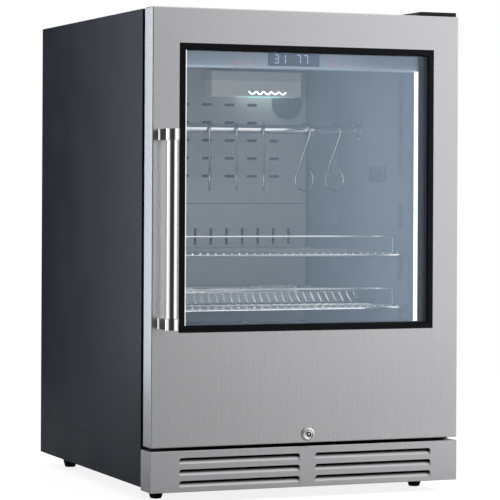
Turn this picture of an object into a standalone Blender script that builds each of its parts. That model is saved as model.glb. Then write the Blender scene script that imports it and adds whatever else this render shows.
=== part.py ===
"""Under-counter dry aging cabinet, modelled as its separate pieces.

Metres, +X right, the front faces -Y, +Z up. The origin is on the floor, under the middle.
"""
import math

import bmesh
import bpy
from mathutils import Matrix, Vector

# Overall sizes
CABINET_WIDTH = 0.595
CABINET_DEPTH = 0.598
DOOR_HEIGHT = 0.7691
DOOR_THICKNESS = 0.0406
DOOR_GAP = 0.0113
DOOR_TOP_PROUD = 0.001
GRILLE_HEIGHT = 0.0724
GRILLE_TO_DOOR = 0.0058
FLOOR_CLEARANCE = 0.020
BASE_RISE = 0.0053
PLINTH_HEIGHT = 0.0693
HANDLE_STANDOFF = 0.040
HANDLE_BAR_RADIUS = 0.00975

# Sheet metal and clearances
SHEET = 0.001
SEAM = 0.0003
CUT = 0.002
FLANGE = 0.020
TOP_FLANGE = 0.015
BACK_RECESS = 0.004
BEAD_HEIGHT = 0.003
BEAD_WIDTH = 0.024
BEAD_MARGIN = 0.070
BEAD_PLACE_SHARES = (-0.6, -0.2, 0.2, 0.6)

# Cold compartment
SIDE_INSULATION = 0.050
FLOOR_INSULATION = 0.041
TOP_INSULATION = 0.0463
BACK_INSULATION = 0.0679
LINER_WALL = 0.0015
POCKET_INSET = 0.0325
POCKET_DEPTH = 0.032
POCKET_MARGIN = 0.022
BAY_HEIGHT = 0.1414

# Shelf ribs moulded into the liner walls
RIB_THICKNESS = 0.010
RIB_WIDTH = 0.035
RIB_FLOOR_GAP = 0.032
RIB_TOP_GAP = 0.066
RIB_ROOT = 0.0005
FRONT_RIB_DEPTH = 0.0760
REAR_RIB_SETBACK = 0.1571
LOWEST_SHELF_SHARE = 0.0954
SHELF_PITCH_SHARE = 0.17956
SHELF_LEVELS = 3
NOTCH_HEIGHT_SHARE = 0.1013

# Wire shelves
SHELF_SIDE_GAP = 0.006
SHELF_FRONT_DEPTH = 0.0545
SHELF_REAR_GAP = 0.0356
RAIL_RADIUS = 0.0025
CROSS_WIRE_RADIUS = 0.0015
CROSS_WIRE_PITCH = 0.0151
WELD_DEPTH = 0.0008
GUARD_RADIUS = 0.0020
GUARD_SETBACK = 0.044
GUARD_RISE = 0.034
GUARD_INSET = 0.003
SHELF_CORNER = 0.012

# Door
WINDOW_SIDE_MARGIN = 0.0508
WINDOW_BOTTOM_RISE = 0.2002
WINDOW_TOP_MARGIN = 0.0621
TRIM_WIDTH = 0.0107
TRIM_PROUD = 0.0015
TRIM_ROUND_SHARE = 0.6
TRIM_NECK_INSET = 0.0042
TRIM_NECK_DEPTH = 0.0060
TRIM_CORNER = 0.0015
GLASS_THICKNESS = 0.004
GLASS_SPACER = 0.018
GLASS_LAP = 0.0100
SPACER_WIDTH = 0.0070
DOOR_EDGE_RADIUS = 0.0018
GASKET_WIDTH = 0.015
GASKET_LAP = 0.008
GASKET_LIP = 0.004

# Handle
HANDLE_INSET = 0.0235
HANDLE_LOW_RISE = 0.2078
HANDLE_LENGTH = 0.3478
POST_HEIGHT = 0.0194
POST_WIDTH = 0.0244
POST_WAIST = 0.0170
SPIGOT_RADIUS = 0.0070
SPIGOT_LENGTH = 0.012

# Lock
LOCK_RISE = 0.0156
LOCK_FLANGE_RADIUS = 0.0118
LOCK_PROUD = 0.0045
LOCK_BARREL_RADIUS = 0.0094
LOCK_BORE_RADIUS = 0.0064
KEYWAY_OUTER = 0.0043
KEYWAY_INNER = 0.0019
KEYWAY_DEPTH = 0.006
CAM_LENGTH = 0.024
CAM_WIDTH = 0.011
CAM_THICKNESS = 0.002
CAM_STANDOFF = 0.0022

# Toe grille
GRILLE_SHEET = 0.0012
GRILLE_EDGE_RADIUS = 0.0009
LOUVRE_SIDE_MARGIN = 0.0535
LOUVRE_COLUMN_GAP = 0.030
LOUVRE_HEIGHT = 0.0116
LOUVRE_PITCH = 0.0201
LOUVRE_TOP_MARGIN = 0.0124
LOUVRE_DEPTH = 0.0095
LOUVRE_CORNER = 0.0045
LOUVRE_ROWS = 3

# Hinges
PIN_INSET = 0.0175
PIN_RADIUS = 0.004
PIN_LENGTH = 0.018
HINGE_PLATE = 0.0025
HINGE_ARM_HALF = 0.0075
HINGE_LEAF_WIDTH = 0.052
HINGE_LEAF_HEIGHT = 0.035
TOP_PLATE_LENGTH = 0.068
TOP_PLATE_REACH = 0.058
COVER_HEIGHT = 0.0082
COVER_MARGIN = 0.004
COVER_TAPER = 0.010
COVER_WALL = 0.0015

# Levelling feet
FOOT_INSET = 0.0425
FOOT_FRONT_DEPTH = 0.038
FOOT_REAR_SETBACK = 0.061
FOOT_TOP_RADIUS = 0.0135
FOOT_SOLE_RADIUS = 0.0105
FOOT_DISC_HEIGHT = 0.0165
FOOT_FLARE_SHARE = 0.7
FOOT_RIM_SHARE = 0.9
FOOT_HEX_RADIUS = 0.0078
STEM_RADIUS = 0.004
STEM_LENGTH = 0.034
FOOT_BUSH_RADIUS = 0.009
FOOT_BUSH_LENGTH = 0.014

# Control fascia, light bars and sensor
FASCIA_DEPTH = 0.0201
FASCIA_THICKNESS = 0.028
FASCIA_HEIGHT = 0.0512
FASCIA_CORNER = 0.004
DISPLAY_HALF = 0.0507
DISPLAY_HEIGHT = 0.0275
DISPLAY_RISE = 0.0045
DISPLAY_RECESS = 0.002
LIGHT_DEPTH = 0.0051
LIGHT_WIDTH = 0.020
LIGHT_THICKNESS = 0.003
LIGHT_CHAMFER = 0.0012
LIGHT_FLOOR_GAP = 0.032
LIGHT_TOP_GAP = 0.065
SENSOR_DEPTH = 0.150
SENSOR_WIDTH = 0.067
SENSOR_HEIGHT = 0.028
SENSOR_RISE_SHARE = 0.5322
SENSOR_THICKNESS = 0.006
SENSOR_SLOTS = 3
SENSOR_SLOT_HEIGHT = 0.003

# Rear covers, filter and lamp
COVER_SIDE_GAP = 0.0055
COVER_RISE = 0.010
REAR_COVER_SHEET = 0.0012
COVER_LIFT = 0.008
COVER_SPLIT_SHARE = 0.4484
COVER_TOP_GAP = 0.020
COVER_FLOOR_GAP = 0.006
VENT_LENGTH = 0.024
VENT_WIDTH = 0.006
VENT_SIDE_MARGIN = 0.0705
VENT_ROW_PITCH_SHARE = 0.1288
VENT_COLUMNS = 8
VENT_ROWS = 5
VENT_TOP_GAP_SHARE = 0.2862
LOW_VENT_COLUMNS = 13
LOW_VENT_SIDE_MARGIN = 0.038
LOW_VENT_LENGTH = 0.036
LOW_VENT_TOP_GAP = 0.066
FILTER_RADIUS = 0.034
FILTER_SIDE_GAP = 0.043
FILTER_DROP = 0.0738
FILTER_THICKNESS = 0.0085
FILTER_FLANGE_RADIUS = 0.0365
FILTER_FLANGE = 0.0015
FILTER_FACE_SHARE = 0.9
LAMP_LEFT = 0.0173
LAMP_SIDE_GAP = 0.0305
LAMP_HEIGHT = 0.0495
LAMP_DEPTH = 0.043
LAMP_DROP = 0.0635
LAMP_WALL = 0.0015
ZIGZAG_START_SHARE = 0.412
ZIGZAG_TEETH = 5
ZIGZAG_PITCH_SHARE = 0.085
ZIGZAG_HEIGHT = 0.0060
ZIGZAG_BAND = 0.0035
ZIGZAG_RISE = 0.0020
TUBE_RADIUS = 0.0065
TUBE_CAP_RADIUS = 0.0080
TUBE_CAP_LENGTH = 0.010
TUBE_RISE = 0.011

# Hanging rod and hooks
ROD_RADIUS = 0.009
ROD_DEPTH_SHARE = 0.50575
ROD_DROP_SHARE = 0.28508
SOCKET_FLANGE_RADIUS = 0.0185
SOCKET_FLANGE = 0.003
SOCKET_COLLAR_RADIUS = 0.0125
SOCKET_COLLAR_LENGTH = 0.015
HOOK_WIRE_RADIUS = 0.0020
HOOK_EYE_RADIUS = 0.0150
HOOK_BOWL_RADIUS = 0.0220
HOOK_DROP = 0.0920
HOOK_EYE_SWEEP = math.radians(225)
HOOK_BOWL_END = math.radians(30)
HOOK_TIP_LENGTH = 0.010
NEAR_HOOK_TURN = math.radians(-22)
FAR_HOOK_TURN = math.radians(27.5)
NEAR_HOOK_SHARES = (-0.2703, -0.0461, 0.1782)
FAR_HOOK_SHARES = (0.5212, 0.7798)

# Pans
PAN_SIDE_GAP = 0.0415
PAN_REAR_GAP = 0.046
PAN_HEIGHT = 0.0220
PAN_SETBACK = 0.094
PAN_FLARE = 0.008
PAN_WALL = 0.0010
PAN_LIP = 0.0040
PAN_CORNER = 0.018
DISH_RADIUS = 0.057
DISH_HEIGHT = 0.0135
DISH_PLACE_SHARE = 0.3434
DISH_DEPTH_SHARE = 0.6093
DISH_FLARE = 0.006
DISH_LIP = 0.003

# Machine bay
PAN_SHEET = 0.0015
FRONT_LIP = 0.010
COMPRESSOR_X = 0.120
COMPRESSOR_SETBACK = 0.168
COMPRESSOR_RADIUS = 0.095
COMPRESSOR_NARROW_SHARE = 0.80
COMPRESSOR_WALL_SHARE = 0.97
COMPRESSOR_DOME_SHARE = 0.35
COMPRESSOR_SIDE_SHARES = (
    (0.60, 0.0),
    (0.90, 0.10),
    (0.97, 0.25),
    (0.97, 0.52),
    (1.0, 0.53),
    (1.0, 0.57),
    (0.97, 0.58),
)
COMPRESSOR_HEIGHT = 0.150
COMPRESSOR_FOOT = 0.012
COMPRESSOR_PLATE_HALF = 0.085
COMPRESSOR_PLATE_CORNER = 0.020
TERMINAL_HALF = 0.030
TERMINAL_RISE = 0.035
TERMINAL_HEIGHT = 0.060
TERMINAL_EDGE = 0.004
TERMINAL_FRONT_SHARE = 1.10
TERMINAL_BACK_SHARE = 0.80
CONDENSER_SIDE_GAP = 0.0575
CONDENSER_RIGHT = 0.100
CONDENSER_DEPTH = 0.075
CONDENSER_TUBE_RADIUS = 0.0035
CONDENSER_RUNS = 6
CONDENSER_PITCH = 0.028
CONDENSER_RISE = 0.018
COIL_PLATE = 0.0015
COIL_PLATE_DEPTH = 0.030
COIL_PLATE_MARGIN = 0.013
BAY_FAN_SIZE = 0.120
BAY_FAN_THICKNESS = 0.025
BAY_FAN_X = -0.070
BAY_FAN_DEPTH = 0.125
BAY_FAN_FOOT = 0.012
COLD_FAN_SIZE = 0.092
COLD_FAN_THICKNESS = 0.025
COLD_FAN_X = -0.100
COLD_FAN_DROP = 0.120
FAN_BORE_SHARE = 0.93
FAN_HUB_SHARE = 0.36
FAN_TIP_CLEARANCE = 0.0020
FAN_STRUT = 0.005
FAN_CORNER_SHARE = 0.08
BLADE_COUNT = 5
BLADE_THICKNESS = 0.0018
BLADE_FILL_SHARE = 0.8
BLADE_ROOT_SHARE = 0.8
BLADE_ROOT_PITCH = math.radians(50)
BLADE_TIP_PITCH = math.radians(30)
HUB_NOSE_SHARE = 0.8
EVAPORATOR_INSET = 0.025
EVAPORATOR_TUBE_RADIUS = 0.004
EVAPORATOR_RUNS = 7
EVAPORATOR_PITCH_SHARE = 0.0626
EVAPORATOR_RISE = 0.060
DRIP_SIDE_GAP = 0.0575
DRIP_MIDDLE_GAP = 0.040
DRIP_SETBACK = 0.168
DRIP_WIDTH = 0.160
DRIP_HEIGHT = 0.034
DRIP_WALL = 0.002
INLET_SIDE_GAP = 0.0825
INLET_LIFT = 0.0404
INLET_WIDTH = 0.030
INLET_RISE = 0.022
INLET_FLANGE = 0.005
INLET_BODY = 0.026
INLET_PIN = 0.002
SERVICE_SLOTS = 12
SERVICE_SLOT_WIDTH = 0.007
SERVICE_SLOT_HEIGHT = 0.080
SERVICE_SLOT_PITCH = 0.028
SERVICE_SLOT_X = -0.060

# Rounding and shading of edges
BEVEL_ANGLE = math.radians(50)
POST_BEVEL_ANGLE = math.radians(70)
SMOOTH_ANGLE = math.radians(40)
WIRE_SMOOTH_ANGLE = math.radians(65)
SHARPEST_BEND_SHARE = 0.5

# Derived planes
HANDLE_REACH = HANDLE_STANDOFF + POST_WIDTH / 2
TOTAL_DEPTH = HANDLE_REACH + DOOR_THICKNESS + DOOR_GAP + CABINET_DEPTH
DOOR_FACE_Y = HANDLE_REACH - TOTAL_DEPTH / 2
DOOR_BACK_Y = DOOR_FACE_Y + DOOR_THICKNESS
FRAME_Y = DOOR_BACK_Y + DOOR_GAP
BACK_Y = FRAME_Y + CABINET_DEPTH
HALF = CABINET_WIDTH / 2
GRILLE_TOP_Z = FLOOR_CLEARANCE + GRILLE_HEIGHT
DOOR_BOTTOM_Z = GRILLE_TOP_Z + GRILLE_TO_DOOR
DOOR_TOP_Z = DOOR_BOTTOM_Z + DOOR_HEIGHT
CABINET_TOP_Z = DOOR_TOP_Z - DOOR_TOP_PROUD
BASE_BOTTOM_Z = FLOOR_CLEARANCE + BASE_RISE
PLINTH_TOP_Z = BASE_BOTTOM_Z + PLINTH_HEIGHT
BAY_FLOOR_Z = BASE_BOTTOM_Z + PAN_SHEET
INNER_HALF = HALF - SHEET - SEAM
BAY_CEILING_HEIGHT = PLINTH_TOP_Z + BAY_HEIGHT
HINGE_X = HALF - PIN_INSET
HINGE_Y = DOOR_FACE_Y + DOOR_THICKNESS / 2
LOCK_Z = DOOR_BOTTOM_Z + LOCK_RISE
DOOR_AXIS = (HINGE_X, HINGE_Y, DOOR_BOTTOM_Z)
WINDOW_HALF = HALF - WINDOW_SIDE_MARGIN
WINDOW_LOW_Z = DOOR_BOTTOM_Z + WINDOW_BOTTOM_RISE
WINDOW_HIGH_Z = DOOR_TOP_Z - WINDOW_TOP_MARGIN
HANDLE_X = HALF - HANDLE_INSET
LOUVRE_LENGTH = HALF - LOUVRE_COLUMN_GAP / 2 - LOUVRE_SIDE_MARGIN
FOOT_X = HALF - FOOT_INSET
FOOT_REAR_DEPTH = CABINET_DEPTH - FOOT_REAR_SETBACK

# Derived sizes of the cold compartment
LINER_HALF = HALF - SIDE_INSULATION
LINER_DEPTH = CABINET_DEPTH - BACK_INSULATION
LINER_BACK_Y = FRAME_Y + LINER_DEPTH
LINER_FLOOR_HEIGHT = BAY_CEILING_HEIGHT + FLOOR_INSULATION
LINER_TOP_HEIGHT = CABINET_TOP_Z - TOP_INSULATION
LINER_HEIGHT = LINER_TOP_HEIGHT - LINER_FLOOR_HEIGHT
POCKET_HALF = LINER_HALF - POCKET_INSET
REAR_RIB_DEPTH = LINER_DEPTH - REAR_RIB_SETBACK
LOWEST_SHELF_RISE = LINER_HEIGHT * LOWEST_SHELF_SHARE
SHELF_PITCH = LINER_HEIGHT * SHELF_PITCH_SHARE
NOTCH_HEIGHT = LINER_HEIGHT * NOTCH_HEIGHT_SHARE
SHELF_HALF = LINER_HALF - SHELF_SIDE_GAP
SHELF_LENGTH = LINER_DEPTH - SHELF_FRONT_DEPTH - SHELF_REAR_GAP
PAN_LENGTH = 2 * (SHELF_HALF - PAN_SIDE_GAP)
PAN_DEPTH = SHELF_LENGTH - PAN_SETBACK - PAN_REAR_GAP
DISH_X = LINER_HALF * DISH_PLACE_SHARE
DISH_DEPTH = LINER_DEPTH * DISH_DEPTH_SHARE
LIGHT_HEIGHT = LINER_HEIGHT - LIGHT_FLOOR_GAP - LIGHT_TOP_GAP
SENSOR_RISE = LINER_HEIGHT * SENSOR_RISE_SHARE
ROD_Y = FRAME_Y + LINER_DEPTH * ROD_DEPTH_SHARE
ROD_HEIGHT = LINER_TOP_HEIGHT - LINER_HEIGHT * ROD_DROP_SHARE

# Derived sizes of the rear covers, filter and lamp
COVER_FACE_Y = LINER_BACK_Y - COVER_RISE
COVER_HALF = LINER_HALF - COVER_SIDE_GAP
COVER_TOP_HEIGHT = LINER_TOP_HEIGHT - COVER_TOP_GAP
COVER_SPLIT_HEIGHT = LINER_FLOOR_HEIGHT + LINER_HEIGHT * COVER_SPLIT_SHARE
UPPER_COVER_HEIGHT = COVER_TOP_HEIGHT - COVER_SPLIT_HEIGHT
VENT_COLUMN_PITCH = 2 * (COVER_HALF - VENT_SIDE_MARGIN) / (VENT_COLUMNS - 1)
VENT_ROW_PITCH = UPPER_COVER_HEIGHT * VENT_ROW_PITCH_SHARE
VENT_TOP_GAP = UPPER_COVER_HEIGHT * VENT_TOP_GAP_SHARE
LOW_VENT_PITCH = 2 * (COVER_HALF - LOW_VENT_SIDE_MARGIN) / (LOW_VENT_COLUMNS - 1)
FILTER_X = COVER_HALF - FILTER_SIDE_GAP
FILTER_HEIGHT = COVER_TOP_HEIGHT - FILTER_DROP
LAMP_LENGTH = COVER_HALF - LAMP_SIDE_GAP - LAMP_LEFT
LAMP_BOTTOM_HEIGHT = COVER_TOP_HEIGHT - LAMP_DROP
ZIGZAG_START = LAMP_LENGTH * ZIGZAG_START_SHARE
ZIGZAG_PITCH = LAMP_LENGTH * ZIGZAG_PITCH_SHARE
COLD_FAN_HEIGHT = LINER_TOP_HEIGHT - COLD_FAN_DROP
EVAPORATOR_HALF = POCKET_HALF - EVAPORATOR_INSET
EVAPORATOR_PITCH = LINER_HEIGHT * EVAPORATOR_PITCH_SHARE

# Derived sizes of the machine bay
COMPRESSOR_DEPTH = CABINET_DEPTH - COMPRESSOR_SETBACK
CONDENSER_LEFT = CONDENSER_SIDE_GAP - HALF
CONDENSER_LENGTH = CONDENSER_RIGHT - CONDENSER_LEFT
DRIP_LENGTH = HALF - DRIP_SIDE_GAP - DRIP_MIDDLE_GAP
DRIP_X = -DRIP_MIDDLE_GAP - DRIP_LENGTH / 2
DRIP_DEPTH = CABINET_DEPTH - DRIP_SETBACK
INLET_X = HALF - INLET_SIDE_GAP
INLET_HEIGHT = PLINTH_TOP_Z + INLET_LIFT

STEEL = ((0.40, 0.40, 0.41), 0.32, 1.0)
POLISHED = ((0.70, 0.71, 0.72), 0.12, 1.0)
WIRE = ((0.66, 0.69, 0.70), 0.22, 1.0)
DARK_SHEET = ((0.030, 0.033, 0.040), 0.42, 0.3)
BLACK_PLASTIC = ((0.010, 0.010, 0.012), 0.35, 0.0)
RUBBER = ((0.015, 0.015, 0.016), 0.70, 0.0)
LINER_GREY = ((0.22, 0.26, 0.30), 0.45, 0.0)
FASCIA_GREY = ((0.33, 0.40, 0.47), 0.40, 0.0)
GALVANISED = ((0.45, 0.46, 0.47), 0.50, 1.0)
FOAM = ((0.70, 0.60, 0.36), 0.90, 0.0)
COPPER = ((0.60, 0.28, 0.15), 0.30, 1.0)
MACHINE_BLACK = ((0.012, 0.012, 0.013), 0.30, 0.2)
GLASS = ((0.50, 0.60, 0.66), 0.03, 0.0)
LIGHT = ((0.95, 0.98, 1.0), 0.30, 0.0)
WARM_SHEET = ((0.42, 0.43, 0.39), 0.45, 0.2)


def solid(mesh_builder):
    """Turn a closed bmesh into an object in the scene, with its faces pointing out."""
    bmesh.ops.recalc_face_normals(mesh_builder, faces=mesh_builder.faces)
    mesh = bpy.data.meshes.new("piece")
    mesh_builder.to_mesh(mesh)
    mesh_builder.free()
    obj = bpy.data.objects.new("piece", mesh)
    bpy.context.scene.collection.objects.link(obj)
    return obj


def apply_modifiers(obj):
    """Replace the object's mesh by the one that its modifiers give."""
    graph = bpy.context.evaluated_depsgraph_get()
    result = bpy.data.meshes.new_from_object(obj.evaluated_get(graph))
    old = obj.data
    obj.modifiers.clear()
    obj.data = result
    bpy.data.meshes.remove(old)


def combine(target, tools, operation, tools_cross=False):
    for tool in tools:
        boolean = target.modifiers.new(operation.title(), "BOOLEAN")
        boolean.operation = operation
        boolean.solver = "EXACT"
        boolean.use_self = tools_cross
        boolean.object = tool
        apply_modifiers(target)
        mesh = tool.data
        bpy.data.objects.remove(tool)
        bpy.data.meshes.remove(mesh)
    return target


def weld(target, *tools, tools_cross=False):
    return combine(target, tools, "UNION", tools_cross)


def carve(target, *tools):
    return combine(target, tools, "DIFFERENCE")


def joined(objects):
    """Gather separate closed solids in one object, to be used as one cutter or one set of wires."""
    gathered = bmesh.new()
    for obj in objects:
        gathered.from_mesh(obj.data)
        mesh = obj.data
        bpy.data.objects.remove(obj)
        bpy.data.meshes.remove(mesh)
    return solid(gathered)


def soften(obj, width, segments=2, angle=BEVEL_ANGLE):
    bevel = obj.modifiers.new("Bevel", "BEVEL")
    bevel.width = width
    bevel.segments = segments
    bevel.limit_method = "ANGLE"
    bevel.angle_limit = angle
    apply_modifiers(obj)
    return obj


def extruded(points, axis, start, end):
    """A closed outline, given in the plane across the axis, pulled along the axis."""
    order = {"X": (2, 0, 1), "Y": (0, 2, 1), "Z": (0, 1, 2)}[axis]
    builder = bmesh.new()
    lower = []
    for first, second in points:
        triple = (first, second, start)
        lower.append(builder.verts.new([triple[index] for index in order]))
    face = builder.faces.new(lower)
    pulled = bmesh.ops.extrude_face_region(builder, geom=[face])
    direction = Vector([(0.0, 0.0, end - start)[index] for index in order])
    upper = [item for item in pulled["geom"] if isinstance(item, bmesh.types.BMVert)]
    bmesh.ops.translate(builder, verts=upper, vec=direction)
    return solid(builder)


def block(x0, x1, y0, y1, z0, z1):
    return extruded([(x0, y0), (x1, y0), (x1, y1), (x0, y1)], "Z", z0, z1)


def arc(centre, radius, start, end, steps):
    """Points on an arc from the start angle to the end angle, both included."""
    points = []
    for step in range(steps + 1):
        angle = start + (end - start) * step / steps
        points.append((centre[0] + radius * math.cos(angle), centre[1] + radius * math.sin(angle)))
    return points


def rounded_rectangle(x0, x1, y0, y1, radius, steps=3):
    quarter = math.pi / 2
    corners = ((x1, y0, -quarter), (x1, y1, 0.0), (x0, y1, quarter), (x0, y0, 2 * quarter))
    points = []
    for x, y, angle in corners:
        centre = (x - radius if x == x1 else x + radius, y - radius if y == y1 else y + radius)
        points += arc(centre, radius, angle, angle + quarter, steps)
    return points


def slot_outline(x, y, length, width, upright=False, steps=3):
    """An obround slot about a middle point."""
    reach = (length - width) / 2
    points = arc((reach, 0), width / 2, -math.pi / 2, math.pi / 2, steps)
    points += arc((-reach, 0), width / 2, math.pi / 2, 3 * math.pi / 2, steps)
    if upright:
        return [(x - second, y + first) for first, second in points]
    return [(x + first, y + second) for first, second in points]


def turned(profile, axis, centre, steps, closed_ring=False):
    """Revolve (radius, height) points about an axis through the centre; radius 0 is on the axis."""
    builder = bmesh.new()
    rings = []
    for radius, height in profile:
        if radius == 0:
            rings.append([builder.verts.new(oriented(0.0, 0.0, height, axis, centre))])
            continue
        ring = []
        for step in range(steps):
            angle = 2 * math.pi * step / steps
            across = radius * math.cos(angle)
            up = radius * math.sin(angle)
            ring.append(builder.verts.new(oriented(across, up, height, axis, centre)))
        rings.append(ring)
    pairs = list(zip(rings, rings[1:]))
    if closed_ring:
        pairs.append((rings[-1], rings[0]))
    for low, high in pairs:
        bridge(builder, low, high)
    if not closed_ring:
        for ring in (rings[0], rings[-1]):
            if len(ring) > 1:
                builder.faces.new(ring)
    obj = solid(builder)
    obj.data.shade_smooth()
    obj.data.set_sharp_from_angle(angle=SMOOTH_ANGLE)
    return obj


def oriented(across, up, along, axis, centre):
    if axis == "X":
        return (centre[0] + along, centre[1] + across, centre[2] + up)
    if axis == "Y":
        return (centre[0] + across, centre[1] + along, centre[2] + up)
    return (centre[0] + across, centre[1] + up, centre[2] + along)


def bridge(builder, low, high):
    """Join two rings of points, either of which may be a single point."""
    count = max(len(low), len(high))
    for step in range(count):
        following = (step + 1) % count
        if len(low) == 1:
            builder.faces.new((low[0], high[following], high[step]))
        elif len(high) == 1:
            builder.faces.new((low[step], low[following], high[0]))
        else:
            builder.faces.new((low[step], low[following], high[following], high[step]))


def rod(axis, centre, radius, start, end, steps=16):
    return turned([(radius, start), (radius, end)], axis, centre, steps)


def plane_normal(path):
    """The normal of the plane that a path lies in, or one square to a straight path."""
    normal = Vector()
    for before, point, after in zip(path, path[1:], path[2:]):
        turn = (point - before).cross(after - point)
        normal += turn if turn.dot(normal) >= 0 else -turn
    if normal.length:
        return normal.normalized()
    upright = path[0].x == path[1].x and path[0].y == path[1].y
    return Vector((1.0, 0.0, 0.0)) if upright else Vector((0.0, 0.0, 1.0))


def tube(points, radius, sides=6, closed=False):
    """A round wire along a flat path, with flat ends, or one unbroken loop when closed."""
    path = [Vector(point) for point in points]
    count = len(path)
    builder = bmesh.new()
    rings = []
    normal = plane_normal(path)
    for index, point in enumerate(path):
        before = path[index - 1] if (closed or index) else point
        after = path[(index + 1) % count] if (closed or index < count - 1) else point
        arriving = (point - before).normalized() if (point - before).length else Vector()
        leaving = (after - point).normalized() if (after - point).length else Vector()
        tangent = (arriving + leaving).normalized()
        side = tangent.cross(normal)
        stretch = 1.0
        if arriving.length and leaving.length:
            stretch = 1.0 / max(SHARPEST_BEND_SHARE, math.sqrt((1 + arriving.dot(leaving)) / 2))
        bend = leaving - arriving
        ring = []
        for step in range(sides):
            angle = 2 * math.pi * step / sides
            offset = (normal * math.cos(angle) + side * math.sin(angle)) * radius
            if bend.length:
                outward = bend.normalized()
                offset += outward * offset.dot(outward) * (stretch - 1.0)
            ring.append(builder.verts.new(point + offset))
        rings.append(ring)
    for low, high in zip(rings, rings[1:]):
        bridge(builder, low, high)
    if closed:
        bridge(builder, rings[-1], rings[0])
    else:
        builder.faces.new(rings[0])
        builder.faces.new(rings[-1])
    obj = solid(builder)
    obj.data.shade_smooth()
    obj.data.set_sharp_from_angle(angle=WIRE_SMOOTH_ANGLE)
    return obj


def finish(obj, name, look, axis_point=None, carrier=None):
    """Name a piece, give it its material, and put its origin where it turns or slides."""
    colour, roughness, metallic = look
    material = bpy.data.materials.new(name + "_finish")
    material.use_nodes = True
    shader = material.node_tree.nodes["Principled BSDF"]
    shader.inputs["Base Color"].default_value = (*colour, 1.0)
    shader.inputs["Roughness"].default_value = roughness
    shader.inputs["Metallic"].default_value = metallic
    obj.name = name
    obj.data.name = name
    obj.data.materials.clear()
    obj.data.materials.append(material)
    place = Vector(axis_point) if axis_point else Vector()
    obj.data.transform(Matrix.Translation(-place))
    obj.location = place
    if carrier:
        obj.parent = carrier
        obj.location = place - carrier.location
    return obj


def joint_empty(name, place):
    empty = bpy.data.objects.new(name, None)
    empty.location = place
    bpy.context.scene.collection.objects.link(empty)
    return empty


def ring_plate(half_out, low_out, high_out, half_in, low_in, high_in, y0, y1):
    """A flat frame across Y, from its outer and inner limits."""
    plate = block(-half_out, half_out, y0, y1, low_out, high_out)
    return carve(plate, block(-half_in, half_in, y0 - CUT, y1 + CUT, low_in, high_in))


def side_panel(side):
    """Folded side sheet with an inward flange at the front and the back."""
    outer = side * HALF
    inner = side * (HALF - SHEET)
    lip = side * (HALF - FLANGE)
    outline = [
        (lip, FRAME_Y),
        (outer, FRAME_Y),
        (outer, BACK_Y),
        (lip, BACK_Y),
        (lip, BACK_Y - SHEET),
        (inner, BACK_Y - SHEET),
        (inner, FRAME_Y + SHEET),
        (lip, FRAME_Y + SHEET),
    ]
    panel = extruded(outline, "Z", PLINTH_TOP_Z + SEAM, CABINET_TOP_Z - SHEET - SEAM)
    name = "side_panel_left" if side < 0 else "side_panel_right"
    finish(panel, name, DARK_SHEET)


def top_panel():
    """Flat lid with a flange turned down at the front and at the back."""
    lid = block(-HALF, HALF, FRAME_Y, BACK_Y, CABINET_TOP_Z - SHEET, CABINET_TOP_Z)
    flange_half = HALF - FLANGE - SEAM
    flange_low = CABINET_TOP_Z - TOP_FLANGE
    lap_high = CABINET_TOP_Z - SHEET / 2
    front = block(-flange_half, flange_half, FRAME_Y, FRAME_Y + SHEET, flange_low, lap_high)
    rear = block(-flange_half, flange_half, BACK_Y - SHEET, BACK_Y, flange_low, lap_high)
    finish(weld(lid, front, rear), "top_panel", DARK_SHEET)


def back_panel():
    """Foamed back sheet with upright stiffening beads pressed outwards."""
    face_y = BACK_Y - BACK_RECESS
    low = BAY_CEILING_HEIGHT
    high = CABINET_TOP_Z - SHEET - SEAM
    panel = block(-INNER_HALF, INNER_HALF, face_y - SHEET, face_y, low, high)
    for share in BEAD_PLACE_SHARES:
        middle = share * INNER_HALF
        bead_low = low + BEAD_MARGIN
        bead_high = high - BEAD_MARGIN
        inner = BEAD_WIDTH / 2 - BEAD_HEIGHT
        outer = BEAD_WIDTH / 2
        outline = [
            (middle - outer, face_y - SHEET / 2),
            (middle - inner, face_y + BEAD_HEIGHT),
            (middle + inner, face_y + BEAD_HEIGHT),
            (middle + outer, face_y - SHEET / 2),
        ]
        panel = weld(panel, extruded(outline, "Z", bead_low, bead_high))
    finish(panel, "back_panel", GALVANISED)


def rear_service_cover():
    """Lower back cover of the machine bay, with upright vents and the opening for the inlet."""
    half = HALF - FLANGE - SEAM
    low = PLINTH_TOP_Z + SEAM
    high = BAY_CEILING_HEIGHT - SEAM
    cover = block(-half, half, BACK_Y - SHEET, BACK_Y, low, high)
    z = (low + high) / 2
    cutters = []
    for index in range(SERVICE_SLOTS):
        x = SERVICE_SLOT_X + (index - (SERVICE_SLOTS - 1) / 2) * SERVICE_SLOT_PITCH
        outline = slot_outline(x, z, SERVICE_SLOT_HEIGHT, SERVICE_SLOT_WIDTH, True, 2)
        cutters.append(extruded(outline, "Y", BACK_Y - SHEET - CUT, BACK_Y + CUT))
    inlet = block(
        INLET_X - INLET_WIDTH / 2 - SEAM,
        INLET_X + INLET_WIDTH / 2 + SEAM,
        BACK_Y - SHEET - CUT,
        BACK_Y + CUT,
        INLET_HEIGHT - INLET_RISE / 2 - SEAM,
        INLET_HEIGHT + INLET_RISE / 2 + SEAM,
    )
    finish(carve(cover, joined(cutters), inlet), "rear_service_cover", GALVANISED)


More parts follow.
